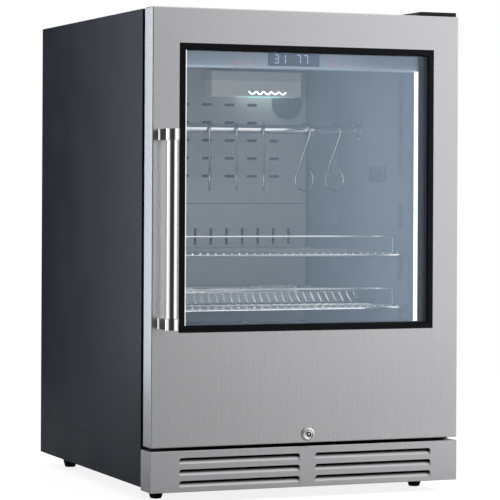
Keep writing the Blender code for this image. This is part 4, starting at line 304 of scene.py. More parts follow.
# the outer pane's film is painted fainter right of x = 0.2185: painted shade
GLASS_OUTER = tinted_pane("outer_pane", (0.47, 0.59, 0.72), 0.17, 0.2185)
GLASS_INNER = tinted_pane("inner_pane", (0.45, 0.60, 0.80), 0.07)
LIGHT_BAR = lit("light_diffuser", (1.0, 0.985, 0.955), 1.8)
TUBE_GLOW = lit("lamp_tube_glow", (0.92, 1.0, 1.0), 3.4, 0.1395, 0.052, 0.02)
LENS_GLOW = lit("lamp_lens_glow", (0.42, 0.86, 0.82), 1.0, 0.129, 0.046, 0.10)
KEY_GLOW = lit("touch_key_glow", (0.80, 0.22, 0.26), 0.50)
DIGITS = lit("display_digits", (0.46, 0.60, 0.90), 0.72)

# painted shade: the grille's louvre throats darkened to near black
paint_louvre_shade(GRILLE_STEEL, 0.2465, -0.2932, -0.2920)
# painted shade on the upper band of the lamp housing's sheet
paint_shade_above(WARM, 0.7675, (0.72, 0.71, 0.66))
# a blue tint on the charcoal's reflections: a painted sheen colour
PAINTED_BLUE_SHEEN = (0.64, 0.80, 1.0, 1.0)
CHARCOAL.node_tree.nodes["Principled BSDF"].inputs["Specular Tint"].default_value = PAINTED_BLUE_SHEEN

for material, names in (
    (STEEL, "door_skin"),
    (GRILLE_STEEL, "toe_grille"),
    (CHARCOAL, "side_panel_left side_panel_right top_panel base_pan"),
    (ZINC, "back_panel rear_service_cover"),
    (FRAME_BLACK, "front_frame glass_spacer"),
    (BLACK, "top_hinge_cover power_inlet evaporation_pan"),
    (BLACK, "condenser_fan_frame condenser_fan_rotor"),
    (BLACK, "evaporator_fan_frame evaporator_fan_rotor"),
    (TRIM_BLACK, "window_trim"),
    (LINER, "liner"),
    (COVER, "rear_cover_upper rear_cover_lower"),
    (FASCIA, "control_fascia"),
    (SENSOR, "humidity_sensor"),
    (FILTER_GREY, "carbon_filter"),
    (DOOR_INNER, "door_core"),
    (WARM, "lamp_housing"),
    (TUBE_GLOW, "lamp_tube"),
    (LIGHT_BAR, "light_bar_left light_bar_right"),
    (DISPLAY, "display_window"),
    (FOAM, "insulation"),
    (ENAMEL, "compressor condenser top_hinge_bracket bottom_hinge_bracket"),
    (FIN_COAT, "evaporator"),
    (GLASS_OUTER, "glass_outer"),
    (GLASS_INNER, "glass_inner"),
    (SOCKET_STEEL, "rod_socket_left rod_socket_right"),
    (LOCK_DARK, "lock_plug"),
):
    for name in names.split():
        mesh = NODES[name].data
        mesh.materials.clear()
        mesh.materials.append(material)


# ---- mesh tools

BOX_FACES = ((0, 1, 3, 2), (4, 6, 7, 5), (0, 4, 5, 1), (2, 3, 7, 6), (0, 2, 6, 4), (1, 5, 7, 3))
# two directions across each axis, and the axis itself
AXES = {
    "X": (Vector((0, 1, 0)), Vector((0, 0, 1)), Vector((1, 0, 0))),
    "Y": (Vector((1, 0, 0)), Vector((0, 0, 1)), Vector((0, 1, 0))),
    "Z": (Vector((1, 0, 0)), Vector((0, 1, 0)), Vector((0, 0, 1))),
}


def new_object(name, data):
    obj = bpy.data.objects.new(name, data)
    bpy.context.scene.collection.objects.link(obj)
    return obj


def object_of(bm, name, material, smooth=40.0):
    """Turn a bmesh into a named object in the scene, with edges kept sharp above an angle."""
    bmesh.ops.recalc_face_normals(bm, faces=bm.faces)
    mesh = bpy.data.meshes.new(name)
    bm.to_mesh(mesh)
    bm.free()
    mesh.materials.append(material)
    for polygon in mesh.polygons:
        polygon.use_smooth = True
    mesh.set_sharp_from_angle(angle=math.radians(smooth))
    return new_object(name, mesh)


def add_piece(bm, name, material, body, node=None, smooth=40.0):
    """Turn a bmesh into a piece that rides on a body.

    It takes the given material and hides the CAD node it stands for, where one is given.
    """
    piece = object_of(bm, name, material, smooth)
    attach(piece, body)
    if node:
        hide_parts(node)


def ring_of(bm, points):
    return [bm.verts.new(point) for point in points]


def bridge(bm, low, high):
    count = len(low)
    for index in range(count):
        after = (index + 1) % count
        bm.faces.new((low[index], low[after], high[after], high[index]))


def skin(bm, rings, joined=False):
    """Faces between rings that follow each other; the two ends are joined or capped."""
    for low, high in zip(rings, rings[1:]):
        bridge(bm, low, high)
    if joined:
        bridge(bm, rings[-1], rings[0])
    else:
        bm.faces.new(rings[0])
        bm.faces.new(rings[-1])


def add_turned(bm, profile, axis, centre, steps, closed=False):
    """Sweep a (radius, along) profile round an axis; points on the axis become poles."""
    first, second, third = AXES[axis]
    centre = Vector(centre)
    rings = []
    for radius, along in profile:
        if radius <= 0:
            rings.append([bm.verts.new(centre + third * along)])
            continue
        ring = []
        for step in range(steps):
            angle = 2 * math.pi * step / steps
            out = first * math.cos(angle) + second * math.sin(angle)
            ring.append(bm.verts.new(centre + out * radius + third * along))
        rings.append(ring)
    pairs = list(zip(rings, rings[1:]))
    if closed:
        pairs.append((rings[-1], rings[0]))
    for low, high in pairs:
        if len(low) == len(high):
            bridge(bm, low, high)
            continue
        pole, ring = (low[0], high) if len(low) == 1 else (high[0], low)
        for index in range(steps):
            bm.faces.new((pole, ring[index], ring[(index + 1) % steps]))


def add_tube(bm, points, radius, sides=10, closed=False, rounded=False):
    """A round wire along a path, its ends flat or domed."""
    path = [Vector(point) for point in points]
    count = len(path)
    normal = None
    rings = []
    for index, point in enumerate(path):
        before = path[index - 1] if index or closed else point
        after = path[(index + 1) % count] if index < count - 1 or closed else point
        tangent = (after - point).normalized() + (point - before).normalized()
        tangent.normalize()
        if normal is None:
            normal = tangent.orthogonal().normalized()
        normal = (normal - tangent * normal.dot(tangent)).normalized()
        rings.append((point, tangent, normal.copy(), radius))
    if rounded:
        for end, way in ((0, -1), (-1, 1)):
            point, tangent, side, _ = rings[end]
            caps = []
            for step in (1, 2, 3):
                angle = math.pi / 2 * step / 3.3
                shift = tangent * way * radius * math.sin(angle)
                caps.append((point + shift, tangent, side, radius * math.cos(angle)))
            rings = caps[::-1] + rings if end == 0 else rings + caps
    turns = [2 * math.pi * step / sides for step in range(sides)]
    loops = []
    for point, tangent, side, size in rings:
        other = tangent.cross(side)
        spots = [point + side * size * math.cos(a) + other * size * math.sin(a) for a in turns]
        loops.append(ring_of(bm, spots))
    skin(bm, loops, joined=closed)


def add_box(bm, xs, ys, zs, edge=0.0, segments=2):
    """A box between two values along each axis, with its edges rounded."""
    corners = ring_of(bm, [(x, y, z) for x in xs for y in ys for z in zs])
    faces = [bm.faces.new([corners[index] for index in quad]) for quad in BOX_FACES]
    if edge:
        edges = {item for face in faces for item in face.edges}
        bmesh.ops.bevel(
            bm, geom=list(edges), offset=edge, segments=segments, profile=0.5, affect="EDGES"
        )


def add_prism(bm, outline, axis, start, end):
    """A flat outline pushed along an axis."""
    spot = {
        "Y": lambda a, b, along: (a, along, b),
        "Z": lambda a, b, along: (a, b, along),
    }[axis]
    skin(bm, [ring_of(bm, [spot(a, b, way) for a, b in outline]) for way in (start, end)])


def add_dot(bm, x, z, y0, y1, radius):
    dot = [(0.0, y0), (radius, y0), (radius, y1), (0.0, y1)]
    add_turned(bm, dot, "Y", (x, 0.0, z), 16)


def add_ring(bm, x, z, y0, y1, outer, inner, steps=28):
    profile = [(outer, y0), (outer, y1), (inner, y1), (inner, y0)]
    add_turned(bm, profile, "Y", (x, 0.0, z), steps, closed=True)


def arc(centre, radius, start, end, steps):
    return [
        (
            centre[0] + radius * math.cos(start + (end - start) * step / steps),
            centre[1] + radius * math.sin(start + (end - start) * step / steps),
        )
        for step in range(steps + 1)
    ]


def rounded_rectangle(x0, x1, y0, y1, radius, steps=6):
    quarter = math.pi / 2
    centres = (
        (x1 - radius, y1 - radius),
        (x0 + radius, y1 - radius),
        (x0 + radius, y0 + radius),
        (x1 - radius, y0 + radius),
    )
    points = []
    for turn, centre in enumerate(centres):
        points += arc(centre, radius, turn * quarter, (turn + 1) * quarter, steps)
    return points


def upright_rectangle(x0, x1, y, z0, z1):
    return [(x0, y, z0), (x1, y, z0), (x1, y, z1), (x0, y, z1)]


def middle_of(node):
    """Middle of a node's box in X, Y and Z."""
    low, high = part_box(node)
    return (low.x + high.x) / 2, (low.y + high.y) / 2, (low.z + high.z) / 2


# ---- wire shelves

RAIL = 0.0025
CROSS_WIRE = 0.0015
GUARD = 0.0020
WELD = 0.0008
SHELF_HALF = 0.2415
RAIL_INSET = 0.0022
RAIL_CORNER = 0.012
WIRE_XS = [index * 0.0151 for index in range(-15, 16)]
GUARD_INSET = 0.003
GUARD_BACK = 0.044
GUARD_BEND = 0.006
WIRE_KNOB = CROSS_WIRE * 1.15


def wire_shelf(node):
    """Rails, cross wires, brace and guard rail as round drawn wire with rounded bends."""
    low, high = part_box(node)
    y0 = low.y + RAIL_INSET
    y1 = high.y - RAIL_INSET
    z = low.z + WELD + SEAM + RAIL
    bm = bmesh.new()
    loop = rounded_rectangle(-SHELF_HALF, SHELF_HALF, y0, y1, RAIL_CORNER)
    add_tube(bm, [(x, y, z) for x, y in loop], RAIL, 12, closed=True)
    middle = (y0 + y1) / 2
    brace = z - WELD - SEAM
    add_tube(bm, [(-SHELF_HALF, middle, brace), (SHELF_HALF, middle, brace)], RAIL)
    top = z + RAIL + CROSS_WIRE - WELD
    for x in WIRE_XS:
        ends = [(x, y0 - 0.0005, top), (x, y1 + 0.0005, top)]
        add_tube(bm, ends, CROSS_WIRE, 8, rounded=True)
    guard_x = SHELF_HALF - GUARD_INSET
    guard_y = y0 + GUARD_BACK
    guard_z = high.z - GUARD
    path = [(-guard_x, guard_y, z)]
    for a in [math.pi / 2 * step / 6 for step in range(7)]:
        x = -guard_x + GUARD_BEND - GUARD_BEND * math.cos(a)
        path.append((x, guard_y, guard_z - GUARD_BEND + GUARD_BEND * math.sin(a)))
    path += [(-x, y, up) for x, y, up in reversed(path[1:])]
    path.append((guard_x, guard_y, z))
    add_tube(bm, path, GUARD)
    add_piece(bm, node + "_wires", WIRE, node, node)
    # white knobs on the cross wires' front ends: painted highlights on the wire ends
    bm = bmesh.new()
    turns = [math.pi * step / 6 for step in range(7)]
    ball = [(WIRE_KNOB * math.sin(a), -WIRE_KNOB * math.cos(a)) for a in turns]
    ball[0] = (0.0, ball[0][1])
    ball[-1] = (0.0, ball[-1][1])
    for x in WIRE_XS:
        add_turned(bm, ball, "Y", (x, y0 - 0.0006, top), 10)
    add_piece(bm, node + "_wire_ends", PAINTED_GLINT, node)


wire_shelf("shelf_lower")
wire_shelf("shelf_upper")


# ---- hanging rod and hooks

ROD_Y = 0.02115
ROD_Z = 0.6652
ROD_R = 0.009
ROD_EDGE = 0.0006
EYE_R = 0.0150
BOWL_R = 0.0220
DROP = 0.0920
TIP = 0.010
HOOK_R = 0.0020
# place along the rod, turn round the vertical in degrees
HOOKS = (
    (-0.0669, -22.0),
    (-0.0114, -22.0),
    (0.0441, -22.0),
    (0.1290, 27.5),
    (0.1930, 27.5),
)


def hanging_rod():
    bm = bmesh.new()
    low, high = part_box("hanging_rod")
    profile = [
        (0.0, low.x),
        (ROD_R - ROD_EDGE, low.x),
        (ROD_R, low.x + ROD_EDGE),
        (ROD_R, high.x - ROD_EDGE),
        (ROD_R - ROD_EDGE, high.x),
        (0.0, high.x),
    ]
    add_turned(bm, profile, "X", (0.0, ROD_Y, ROD_Z), 48)
    add_piece(bm, "hanging_rod_bar", BRIGHT, "cabinet", "hanging_rod")


def hook_path():
    """S-hook in its own plane, round the rod's axis, hanging with its weight under the rod."""
    eye_drop = EYE_R - HOOK_R - ROD_R - SEAM
    lean = math.asin((EYE_R + BOWL_R) / DROP)
    bowl_end = 2 * math.pi + math.radians(30)
    points = arc((0.0, -eye_drop), EYE_R, math.radians(225) - lean, -lean, 22)
    points += arc((0.0, -eye_drop - DROP), BOWL_R, math.pi - lean, bowl_end, 24)
    angle = math.radians(120)
    last = points[-1]
    points.append((last[0] + TIP * math.cos(angle), last[1] + TIP * math.sin(angle)))
    moment = [0.0, 0.0]
    for start, end in zip(points, points[1:]):
        length = math.dist(start, end)
        for index in (0, 1):
            moment[index] += length * (start[index] + end[index]) / 2
    swing = math.atan2(moment[0], -moment[1])
    c, s = math.cos(-swing), math.sin(-swing)
    return [(x * c - z * s, x * s + z * c) for x, z in points]


def meat_hooks():
    for number, (x, turn) in enumerate(HOOKS, 1):
        a = math.radians(turn)
        path = [
            (x + out * math.sin(a), ROD_Y - out * math.cos(a), ROD_Z + up)
            for out, up in hook_path()
        ]
        bm = bmesh.new()
        add_tube(bm, path, HOOK_R, 12, rounded=True)
        name = "meat_hook_%d" % number
        add_piece(bm, name + "_wire", HOOK_STEEL, name, name)


hanging_rod()
meat_hooks()


# ---- pan and dish

PAN_LIP = 0.0040
PAN_FLARE = 0.0042
PAN_WALL = 0.0010
PAN_FOOT = 0.0050
PAN_CORNER = 0.022


def pan():
    """A pressed pan: flat floor, rounded foot, sloping walls and a rolled rim."""
    low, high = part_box("stainless_pan")
    half = (high.x - low.x) / 2
    mid_x = (high.x + low.x) / 2
    base = -PAN_LIP - PAN_FLARE - PAN_FOOT
    under = high.z - PAN_WALL
    outer = [(base, low.z)]
    for a in [math.pi / 2 * 0.8 * step / 5 for step in range(1, 6)]:
        outer.append((base + PAN_FOOT * math.sin(a), low.z + PAN_FOOT - PAN_FOOT * math.cos(a)))
    outer += [(-PAN_LIP - 0.0008, under - 0.0012), (-PAN_LIP, under), (-PAN_WALL, under)]
    roll = [
        (-PAN_WALL * 0.2, high.z - PAN_WALL * 0.75),
        (0.0, high.z - PAN_WALL / 2),
        (-PAN_WALL * 0.3, high.z),
    ]
    inner = [(-PAN_LIP - PAN_WALL * 0.5, high.z)]
    inner += [(a - PAN_WALL, b + PAN_WALL * 0.4) for a, b in reversed(outer[1:-2])]
    inner += [(base - PAN_WALL, low.z + PAN_WALL)]
    bm = bmesh.new()
    rings = []
    for grow, z in outer + roll + inner:
        xs = (mid_x - half - grow, mid_x + half + grow)
        corner = max(PAN_CORNER + grow, 0.001)
        outline = rounded_rectangle(*xs, low.y - grow, high.y + grow, corner, 8)
        rings.append(ring_of(bm, [(x, y, z) for x, y in outline]))
    skin(bm, rings)
    add_piece(
        bm, "stainless_pan_pressed", PAN_STEEL, "shelf_lower", "stainless_pan", 50.0
    )


def dish():
    """Round dish with a rolled rim and a ring of pressed dimples in its floor, and a white ring on
    the rim as a painted glint.
    """
    low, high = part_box("floor_dish")
    centre = ((low.x + high.x) / 2, (low.y + high.y) / 2, 0.0)
    r = (high.x - low.x) / 2
    z0, z1 = low.z, high.z
    wall = 0.001
    profile = [
        (0.0, z0 + 0.0008),
        (r * 0.60, z0 + 0.0008),
        (r * 0.64, z0),
        (r - 0.0105, z0),
        (r - 0.0085, z0 + 0.0010),
        (r - 0.0035, z1 - 0.0016),
        (r - 0.0020, z1 - 0.0008),
        (r - 0.0004, z1 - 0.0010),
        (r, z1 - 0.0005),
        (r - 0.0006, z1),
        (r - 0.0036, z1 - 0.0002),
        (r - 0.0044, z1 - 0.0012),
        (r - 0.0094, z0 + wall + 0.0012),
        (r - 0.0115, z0 + wall),
        (r * 0.66, z0 + wall),
        (r * 0.62, z0 + wall + 0.0008),
        (0.0, z0 + wall + 0.0008),
    ]
    bm = bmesh.new()
    add_turned(bm, profile, "Z", centre, 64)
    dimples = 16
    for step in range(dimples):
        angle = 2 * math.pi * step / dimples
        x = centre[0] + r * 0.74 * math.cos(angle)
        y = centre[1] + r * 0.74 * math.sin(angle)
        bead = [
            (0.0030, z0 + wall - 0.0002),
            (0.0026, z0 + wall + 0.0006),
            (0.0014, z0 + wall + 0.0011),
            (0.0, z0 + wall + 0.0013),
        ]
        add_turned(bm, bead, "Z", (x, y, 0.0), 12)
    add_piece(bm, "floor_dish_pressed", PAN_STEEL, "cabinet", "floor_dish")
    # white ring on the rim: a painted glint
    bm = bmesh.new()
    outside, inside = r - 0.0002, r - 0.0030
    under, over = z1 - 0.0008, z1 + 0.0005
    rim = [(inside, under), (outside, under), (outside, over), (inside, over)]
    add_turned(bm, rim, "Z", centre, 64, closed=True)
    add_piece(bm, "floor_dish_rim_painted_glint", PAINTED_GLINT, "cabinet")


pan()
dish()


# ---- handle and lock

TUBE_EDGE = 0.0005
TUBE_BORE = 0.75
POST_HEIGHT = 0.0194
POST_WAIST = 0.0085


def handle():
    low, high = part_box("handle_bar")
    x = (low.x + high.x) / 2
    y = (low.y + high.y) / 2
    radius = (high.x - low.x) / 2
    bm = bmesh.new()
    profile = [
        (radius - TUBE_EDGE, low.z),
        (radius, low.z + TUBE_EDGE),
        (radius, high.z - TUBE_EDGE),
        (radius - TUBE_EDGE, high.z),
        (radius * TUBE_BORE, high.z),
        (radius * TUBE_BORE, low.z),
    ]
    add_turned(bm, profile, "Z", (x, y, 0.0), 72, closed=True)
    add_piece(bm, "handle_bar_tube", HANDLE_STEEL, "door", "handle_bar")
    for node in ("handle_post_low", "handle_post_top"):
        low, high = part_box(node)
        if node == "handle_post_low":
            ends = (low.z, low.z + POST_HEIGHT)
        else:
            ends = (high.z - POST_HEIGHT, high.z)
        face = high.y
        half = (high.x - low.x) / 2
        outline = arc((x, y), half, math.pi, 2 * math.pi, 40)
        side = [
            (half * 0.93, y + half * 0.55),
            (POST_WAIST, y + half),
            (POST_WAIST, face - POST_WAIST),
            (POST_WAIST + 0.0012, face - POST_WAIST * 0.35),
            (half, face),
        ]
        outline += [(x + out, deep) for out, deep in side]
        outline += [(x - out, deep) for out, deep in reversed(side)]
        bm = bmesh.new()
        add_prism(bm, outline, "Z", *ends)
        rims = []
        for item in bm.edges:
            if abs(item.verts[0].co.z - item.verts[1].co.z) < 1e-6:
                rims.append(item)
        bmesh.ops.bevel(bm, geom=rims, offset=0.0007, segments=2, profile=0.5, affect="EDGES")
        add_piece(bm, node + "_cast", HANDLE_STEEL, "door", node, 35.0)


def lock():
    """Turned flange round the plug, with its sleeve through the door skin."""
    low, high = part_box("lock_body")
    centre = (0.0, 0.0, (low.z + high.z) / 2)
    outer = (high.z - low.z) / 2
    front = low.y
    bm = bmesh.new()
    profile = [
        (0.0066, front + 0.0004),
        (0.0071, front),
        (outer - 0.0022, front),
        (outer - 0.0010, front + 0.0003),
        (outer - 0.0003, front + 0.0010),
        (outer, front + 0.0020),
        (outer, -0.29925),
        (0.0094, -0.29915),
        (0.0094, high.y),
        (0.0064, high.y),
    ]
    add_turned(bm, profile, "Y", centre, 64, closed=True)
    add_piece(bm, "lock_flange", BRIGHT, "door", "lock_body")


def lock_ring():
    """Raised bright ring round the keyway of the turning plug, and its centre post."""
    centre = (0.0, 0.0, middle_of("lock_body")[2])
    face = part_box("lock_plug")[0].y
    back, front = face + 0.0004, face - 0.0002
    bm = bmesh.new()
    ring = [
        (0.0046, back),
        (0.0046, face - 0.0001),
        (0.0049, front),
        (0.0061, front),
        (0.0064, face),
        (0.0064, back),
    ]
    add_turned(bm, ring, "Y", centre, 40, closed=True)
    post = [(0.0, back), (0.0019, back), (0.0019, face), (0.0013, front), (0.0, front)]
    add_turned(bm, post, "Y", centre, 24)
    add_piece(bm, "lock_plug_ring", BRIGHT, "lock_plug")


handle()
lock()
lock_ring()


# ---- window trim

TRIM_BAND = 0.0107
REVEAL_FRONT = -0.2660
REVEAL_GAP = 0.0001
REVEAL_SHEET = 0.0006
# step in from the trim at the sides, step in at top and bottom, place in front of the glass
BEAD_PROFILE = (
    (0.0, 0.0, 0.0002),
    (0.0, 0.0, 0.0022),
    (0.0006, 0.0003, 0.0026),
    (0.0042, 0.0013, 0.0008),
    (0.0046, 0.0015, 0.0002),
)


def window_edges():
    """Sloping bead between the trim and the glass, its right side in painted shade, and the black
    reveal behind it.
    """
    low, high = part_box("window_trim")
    half = high.x - TRIM_BAND
    z0 = low.z + TRIM_BAND
    z1 = high.z - TRIM_BAND
    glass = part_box("glass_outer")[0].y
    rings = [
        upright_rectangle(side - half, half - side, glass - out, z0 + level, z1 - level)
        for side, level, out in BEAD_PROFILE
    ]
    for name, sides, material, slot in (
        ("window_bead", (3,), BEAD, "polished_stainless"),
        ("window_bead_rails", (0, 2), TRIM_BLACK, "black_frame"),
        # the right side of the bead, painted in shade
        ("window_bead_right", (1,), BEAD_PAINTED_SHADE, "black_frame"),
    ):
        bm = bmesh.new()
        for index in sides:
            corners = (index, (index + 1) % 4)
            skin(bm, [ring_of(bm, [ring[c] for ring in rings]) for c in corners])
        add_piece(bm, name, material, "door", smooth=20.0)
    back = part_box("door_core")[1].y - 0.0002
    edge = half - REVEAL_GAP
    foot, head = z0 + REVEAL_GAP, z1 - REVEAL_GAP
    bm = bmesh.new()
    loops = []
    for grow, ends in ((0.0, (REVEAL_FRONT, back)), (-REVEAL_SHEET, (back, REVEAL_FRONT))):
        for y in ends:
            corners = upright_rectangle(-edge - grow, edge + grow, y, foot - grow, head + grow)
            loops.append(ring_of(bm, corners))
    skin(bm, loops, joined=True)
    add_piece(bm, "window_reveal", FRAME_BLACK, "door", smooth=20.0)


window_edges()


# ---- display

SEGMENTS = {"1": "bc", "3": "abcdg", "7": "abc"}
DIGIT_HEIGHT = 0.0168
DIGIT_WIDTH = 0.0092
DIGIT_PITCH = 0.0140
STROKE = 0.0017


def add_bar(bm, x0, x1, z0, z1, y0, y1):
    """One segment of a digit, pointed at both ends of its longer way."""
    if z1 - z0 > x1 - x0:
        tip = (x1 - x0) / 2
        mid = (x0 + x1) / 2
        low, high = z0 + tip, z1 - tip
        outline = [(mid, z0), (x1, low), (x1, high), (mid, z1), (x0, high), (x0, low)]
    else:
        tip = (z1 - z0) / 2
        mid = (z0 + z1) / 2
        low, high = x0 + tip, x1 - tip
        outline = [(x0, mid), (low, z0), (high, z0), (x1, mid), (high, z1), (low, z1)]
    add_prism(bm, outline, "Y", y0, y1)


def display_digits():
    low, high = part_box("display_window")
    y0, y1 = low.y - 0.0004, low.y + 0.0002
    z0 = (low.z + high.z) / 2 - DIGIT_HEIGHT / 2 - 0.001
    z1 = z0 + DIGIT_HEIGHT
    mid = (z0 + z1) / 2
    gap = STROKE * 0.55
    bm = bmesh.new()
    for text, left in (("31", -0.0385), ("77", 0.0050)):
        for number, digit in enumerate(text):
            x = left + number * DIGIT_PITCH
            right = x + DIGIT_WIDTH
            level = (x + gap, right - gap)
            upright = (right - STROKE, right)
            shapes = {
                "a": (*level, z1 - STROKE, z1),
                "g": (*level, mid - STROKE / 2, mid + STROKE / 2),
                "d": (*level, z0, z0 + STROKE),
                "b": (*upright, mid + gap / 2, z1 - gap),
                "c": (*upright, z0 + gap, mid - gap / 2),
            }
            for segment in SEGMENTS[digit]:
                add_bar(bm, *shapes[segment], y0, y1)
    add_piece(bm, "display_figures", DIGITS, "cabinet")


def touch_keys():
    """Printed rings and dots on each side of the display."""
    row_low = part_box("display_window")[0].z + 0.0045
    row_high = row_low + 0.0165
    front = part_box("control_fascia")[0].y
    y0, y1 = front - 0.00025, front + 0.0002
    bm = bmesh.new()
    for x in (-0.113, 0.078):
        add_ring(bm, x, row_low, y0, y1, 0.0054, 0.0043)
    for x in (-0.0945, -0.0765, 0.0955):
        add_ring(bm, x, row_low, y0, y1, 0.0038, 0.0028)
        add_dot(bm, x, row_low, y0, y1, 0.0011)
    for x in (-0.0945, -0.0765, 0.078, 0.0955):
        add_dot(bm, x, row_high, y0, y1, 0.0019)
    add_piece(bm, "touch_key_marks", KEY_GLOW, "cabinet")


display_digits()
touch_keys()


# ---- lamp and filter

LENS_XS = (0.088, 0.170)


def lamp_lens():
    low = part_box("lamp_housing")[0]
    ys = (low.y + 0.0022, low.y + 0.0060)
    bm = bmesh.new()
    add_box(bm, LENS_XS, ys, (low.z - 0.0022, low.z + 0.0010), 0.0005)
    add_piece(bm, "lamp_lens_strip", LENS_GLOW, "cabinet")


def filter_face():
    """Moulded rings and spokes on the face of the filter cartridge."""
    x, _, z = middle_of("carbon_filter")
    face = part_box("carbon_filter")[0].y
    bm = bmesh.new()
    for outer in (0.0300, 0.0235, 0.0170, 0.0105):
        add_ring(bm, x, z, face - 0.0008, face + 0.0003, outer, outer - 0.0012, 48)
    spokes = 12
    for step in range(spokes):
        rotate = Matrix.Rotation(2 * math.pi * step / spokes, 4, "Y")
        before = set(bm.verts)
        add_box(bm, (0.0055, 0.0300), (-0.0006, 0.0004), (-0.0005, 0.0005))
        fresh = [vertex for vertex in bm.verts if vertex not in before]
        move = Matrix.Translation((x, face, z)) @ rotate
        bmesh.ops.transform(bm, matrix=move, verts=fresh)
    hub = [
        (0.0, face - 0.0016),
        (0.0040, face - 0.0016),
        (0.0055, face - 0.0006),
        (0.0055, face + 0.0003),
    ]
    add_turned(bm, hub, "Y", (x, 0.0, z), 32)
    add_piece(bm, "filter_grille", FILTER_GREY, "cabinet")


lamp_lens()
filter_face()


# ---- fasteners, feet and gasket

LINER_WALL = 0.2475
SOCKET_FLANGE = 0.0030


def add_screw(bm, centre, axis, radius, height, turn):
    """Pan head with a cross recess; the axis points out of the sheet."""
    axis = Vector(axis).normalized()
    side = axis.orthogonal().normalized()
    other = axis.cross(side)
    centre = Vector(centre)
    arms = [math.radians(90 * arm + turn) for arm in range(4)]
    angles = [
        math.radians(90 * arm + step + turn) for arm in range(4) for step in (-45, -22, -9, 9, 22)
    ]

    def ring(size, up):
        spots = [(side * math.cos(a) + other * math.sin(a)) * size for a in angles]
        return ring_of(bm, [centre + spot + axis * up for spot in spots])

    def cross(up, grow):
        w = radius * 0.14 * grow
        reach = radius * 0.58 * grow
        edge = ((w, -w), (reach * 0.6, -w), (reach, -w * 0.8), (reach, w * 0.8), (reach * 0.6, w))
        spots = []
        for arm in arms:
            c, s = math.cos(arm), math.sin(arm)
            for a, b in edge:
                spots.append(centre + side * (a * c - b * s) + other * (a * s + b * c) + axis * up)
        return ring_of(bm, spots)

    rings = [
        ring(radius, 0.0),
        ring(radius, height * 0.35),
        ring(radius * 0.90, height * 0.75),
        ring(radius * 0.72, height),
        cross(height, 1.0),
        cross(height * 0.35, 0.7),
    ]
    skin(bm, rings)


def screws(name, places, axis, radius, height):
    bm = bmesh.new()
    for number, spot in enumerate(places):
        add_screw(bm, spot, axis, radius, height, 17.0 * number)
    add_piece(bm, name, ZINC_SCREW, "cabinet", smooth=30.0)


def sheet_screws():
    low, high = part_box("back_panel")
    edge = 0.012
    xs = (low.x + edge, low.x / 3, high.x / 3, high.x - edge)
    zs = (low.z + edge, (low.z + high.z) / 2, high.z - edge)
    places = [(x, high.y, z) for x in xs for z in (zs[0], zs[2])]
    places += [(x, high.y, zs[1]) for x in (xs[0], xs[3])]
    screws("back_panel_screws", places, (0, 1, 0), 0.0042, 0.0009)
    edge = 0.010
    for node in ("rear_cover_upper", "rear_cover_lower"):
        low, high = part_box(node)
        xs = (low.x + edge, high.x - edge)
        places = [(x, low.y, z) for x in xs for z in (low.z + edge, high.z - edge)]
        screws(node + "_screws", places, (0, -1, 0), 0.0032, 0.0014)
    for side, node in ((-1, "rod_socket_left"), (1, "rod_socket_right")):
        face = side * (LINER_WALL - SOCKET_FLANGE)
        middle = middle_of(node)[2]
        places = [(face, ROD_Y, middle + lift) for lift in (-0.0155, 0.0155)]
        screws(node + "_screws", places, (-side, 0, 0), 0.0019, 0.0010)


# radius, height and depth of the flutes, from the sole up
FOOT_PROFILE = (
    (0.0092, 0.0, 0.0),
    (0.0100, 0.0005, 0.0),
    (0.0105, 0.0016, 0.0),
    (0.0103, 0.0026, 0.0),
    (0.0110, 0.0032, 0.0),
    (0.0131, 0.0108, 0.3),
    (0.0135, 0.0120, 1.0),
    (0.0135, 0.0146, 1.0),
    (0.0130, 0.0158, 0.4),
    (0.0120, 0.0164, 0.0),
    (0.0078, 0.0165, 0.0),
)
FOOT_STEPS = 72
FLUTES = 24
NUT_R = 0.0076
STEM_FOOT = 0.0215
STEM_CORE = 0.0031
STEM_CREST = 0.0038
PITCH = 0.00125


def levelling_feet():
    """Fluted foot disc with a soft sole, a hexagon and a threaded stem."""
    for node in ("foot_front_left", "foot_front_right", "foot_rear_left", "foot_rear_right"):
        x, y, _ = middle_of(node)
        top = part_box(node)[1].z
        bm = bmesh.new()
        rings = []
        for radius, z, flute in FOOT_PROFILE:
            spots = []
            for step in range(FOOT_STEPS):
                angle = 2 * math.pi * step / FOOT_STEPS
                r = radius - flute * 0.0006 * (0.5 - 0.5 * math.cos(FLUTES * angle))
                spots.append((x + r * math.cos(angle), y + r * math.sin(angle), z))
            rings.append(ring_of(bm, spots))
        skin(bm, rings)
        sixth = [math.pi / 3 * step for step in range(6)]
        nut = [(x + NUT_R * math.cos(a), y + NUT_R * math.sin(a)) for a in sixth]
        add_prism(bm, nut, "Z", 0.0160, 0.0249)
        add_piece(bm, node + "_disc", BLACK, node, node, 35.0)
        bm = bmesh.new()
        profile = [(0.0, 0.0200), (0.0030, 0.0200)]
        turns = int((top - 0.0225) / PITCH)
        for index in range(turns):
            z = STEM_FOOT + index * PITCH
            profile += [(STEM_CORE, z), (STEM_CREST, z + PITCH * 0.5)]
        profile += [(STEM_CORE, STEM_FOOT + turns * PITCH), (0.0026, top), (0.0, top)]
        add_turned(bm, profile, "Z", (x, y, 0.0), 20)
        add_piece(bm, node + "_stem", ZINC_SCREW, node, smooth=20.0)


GASKET_WIDTH = 0.015
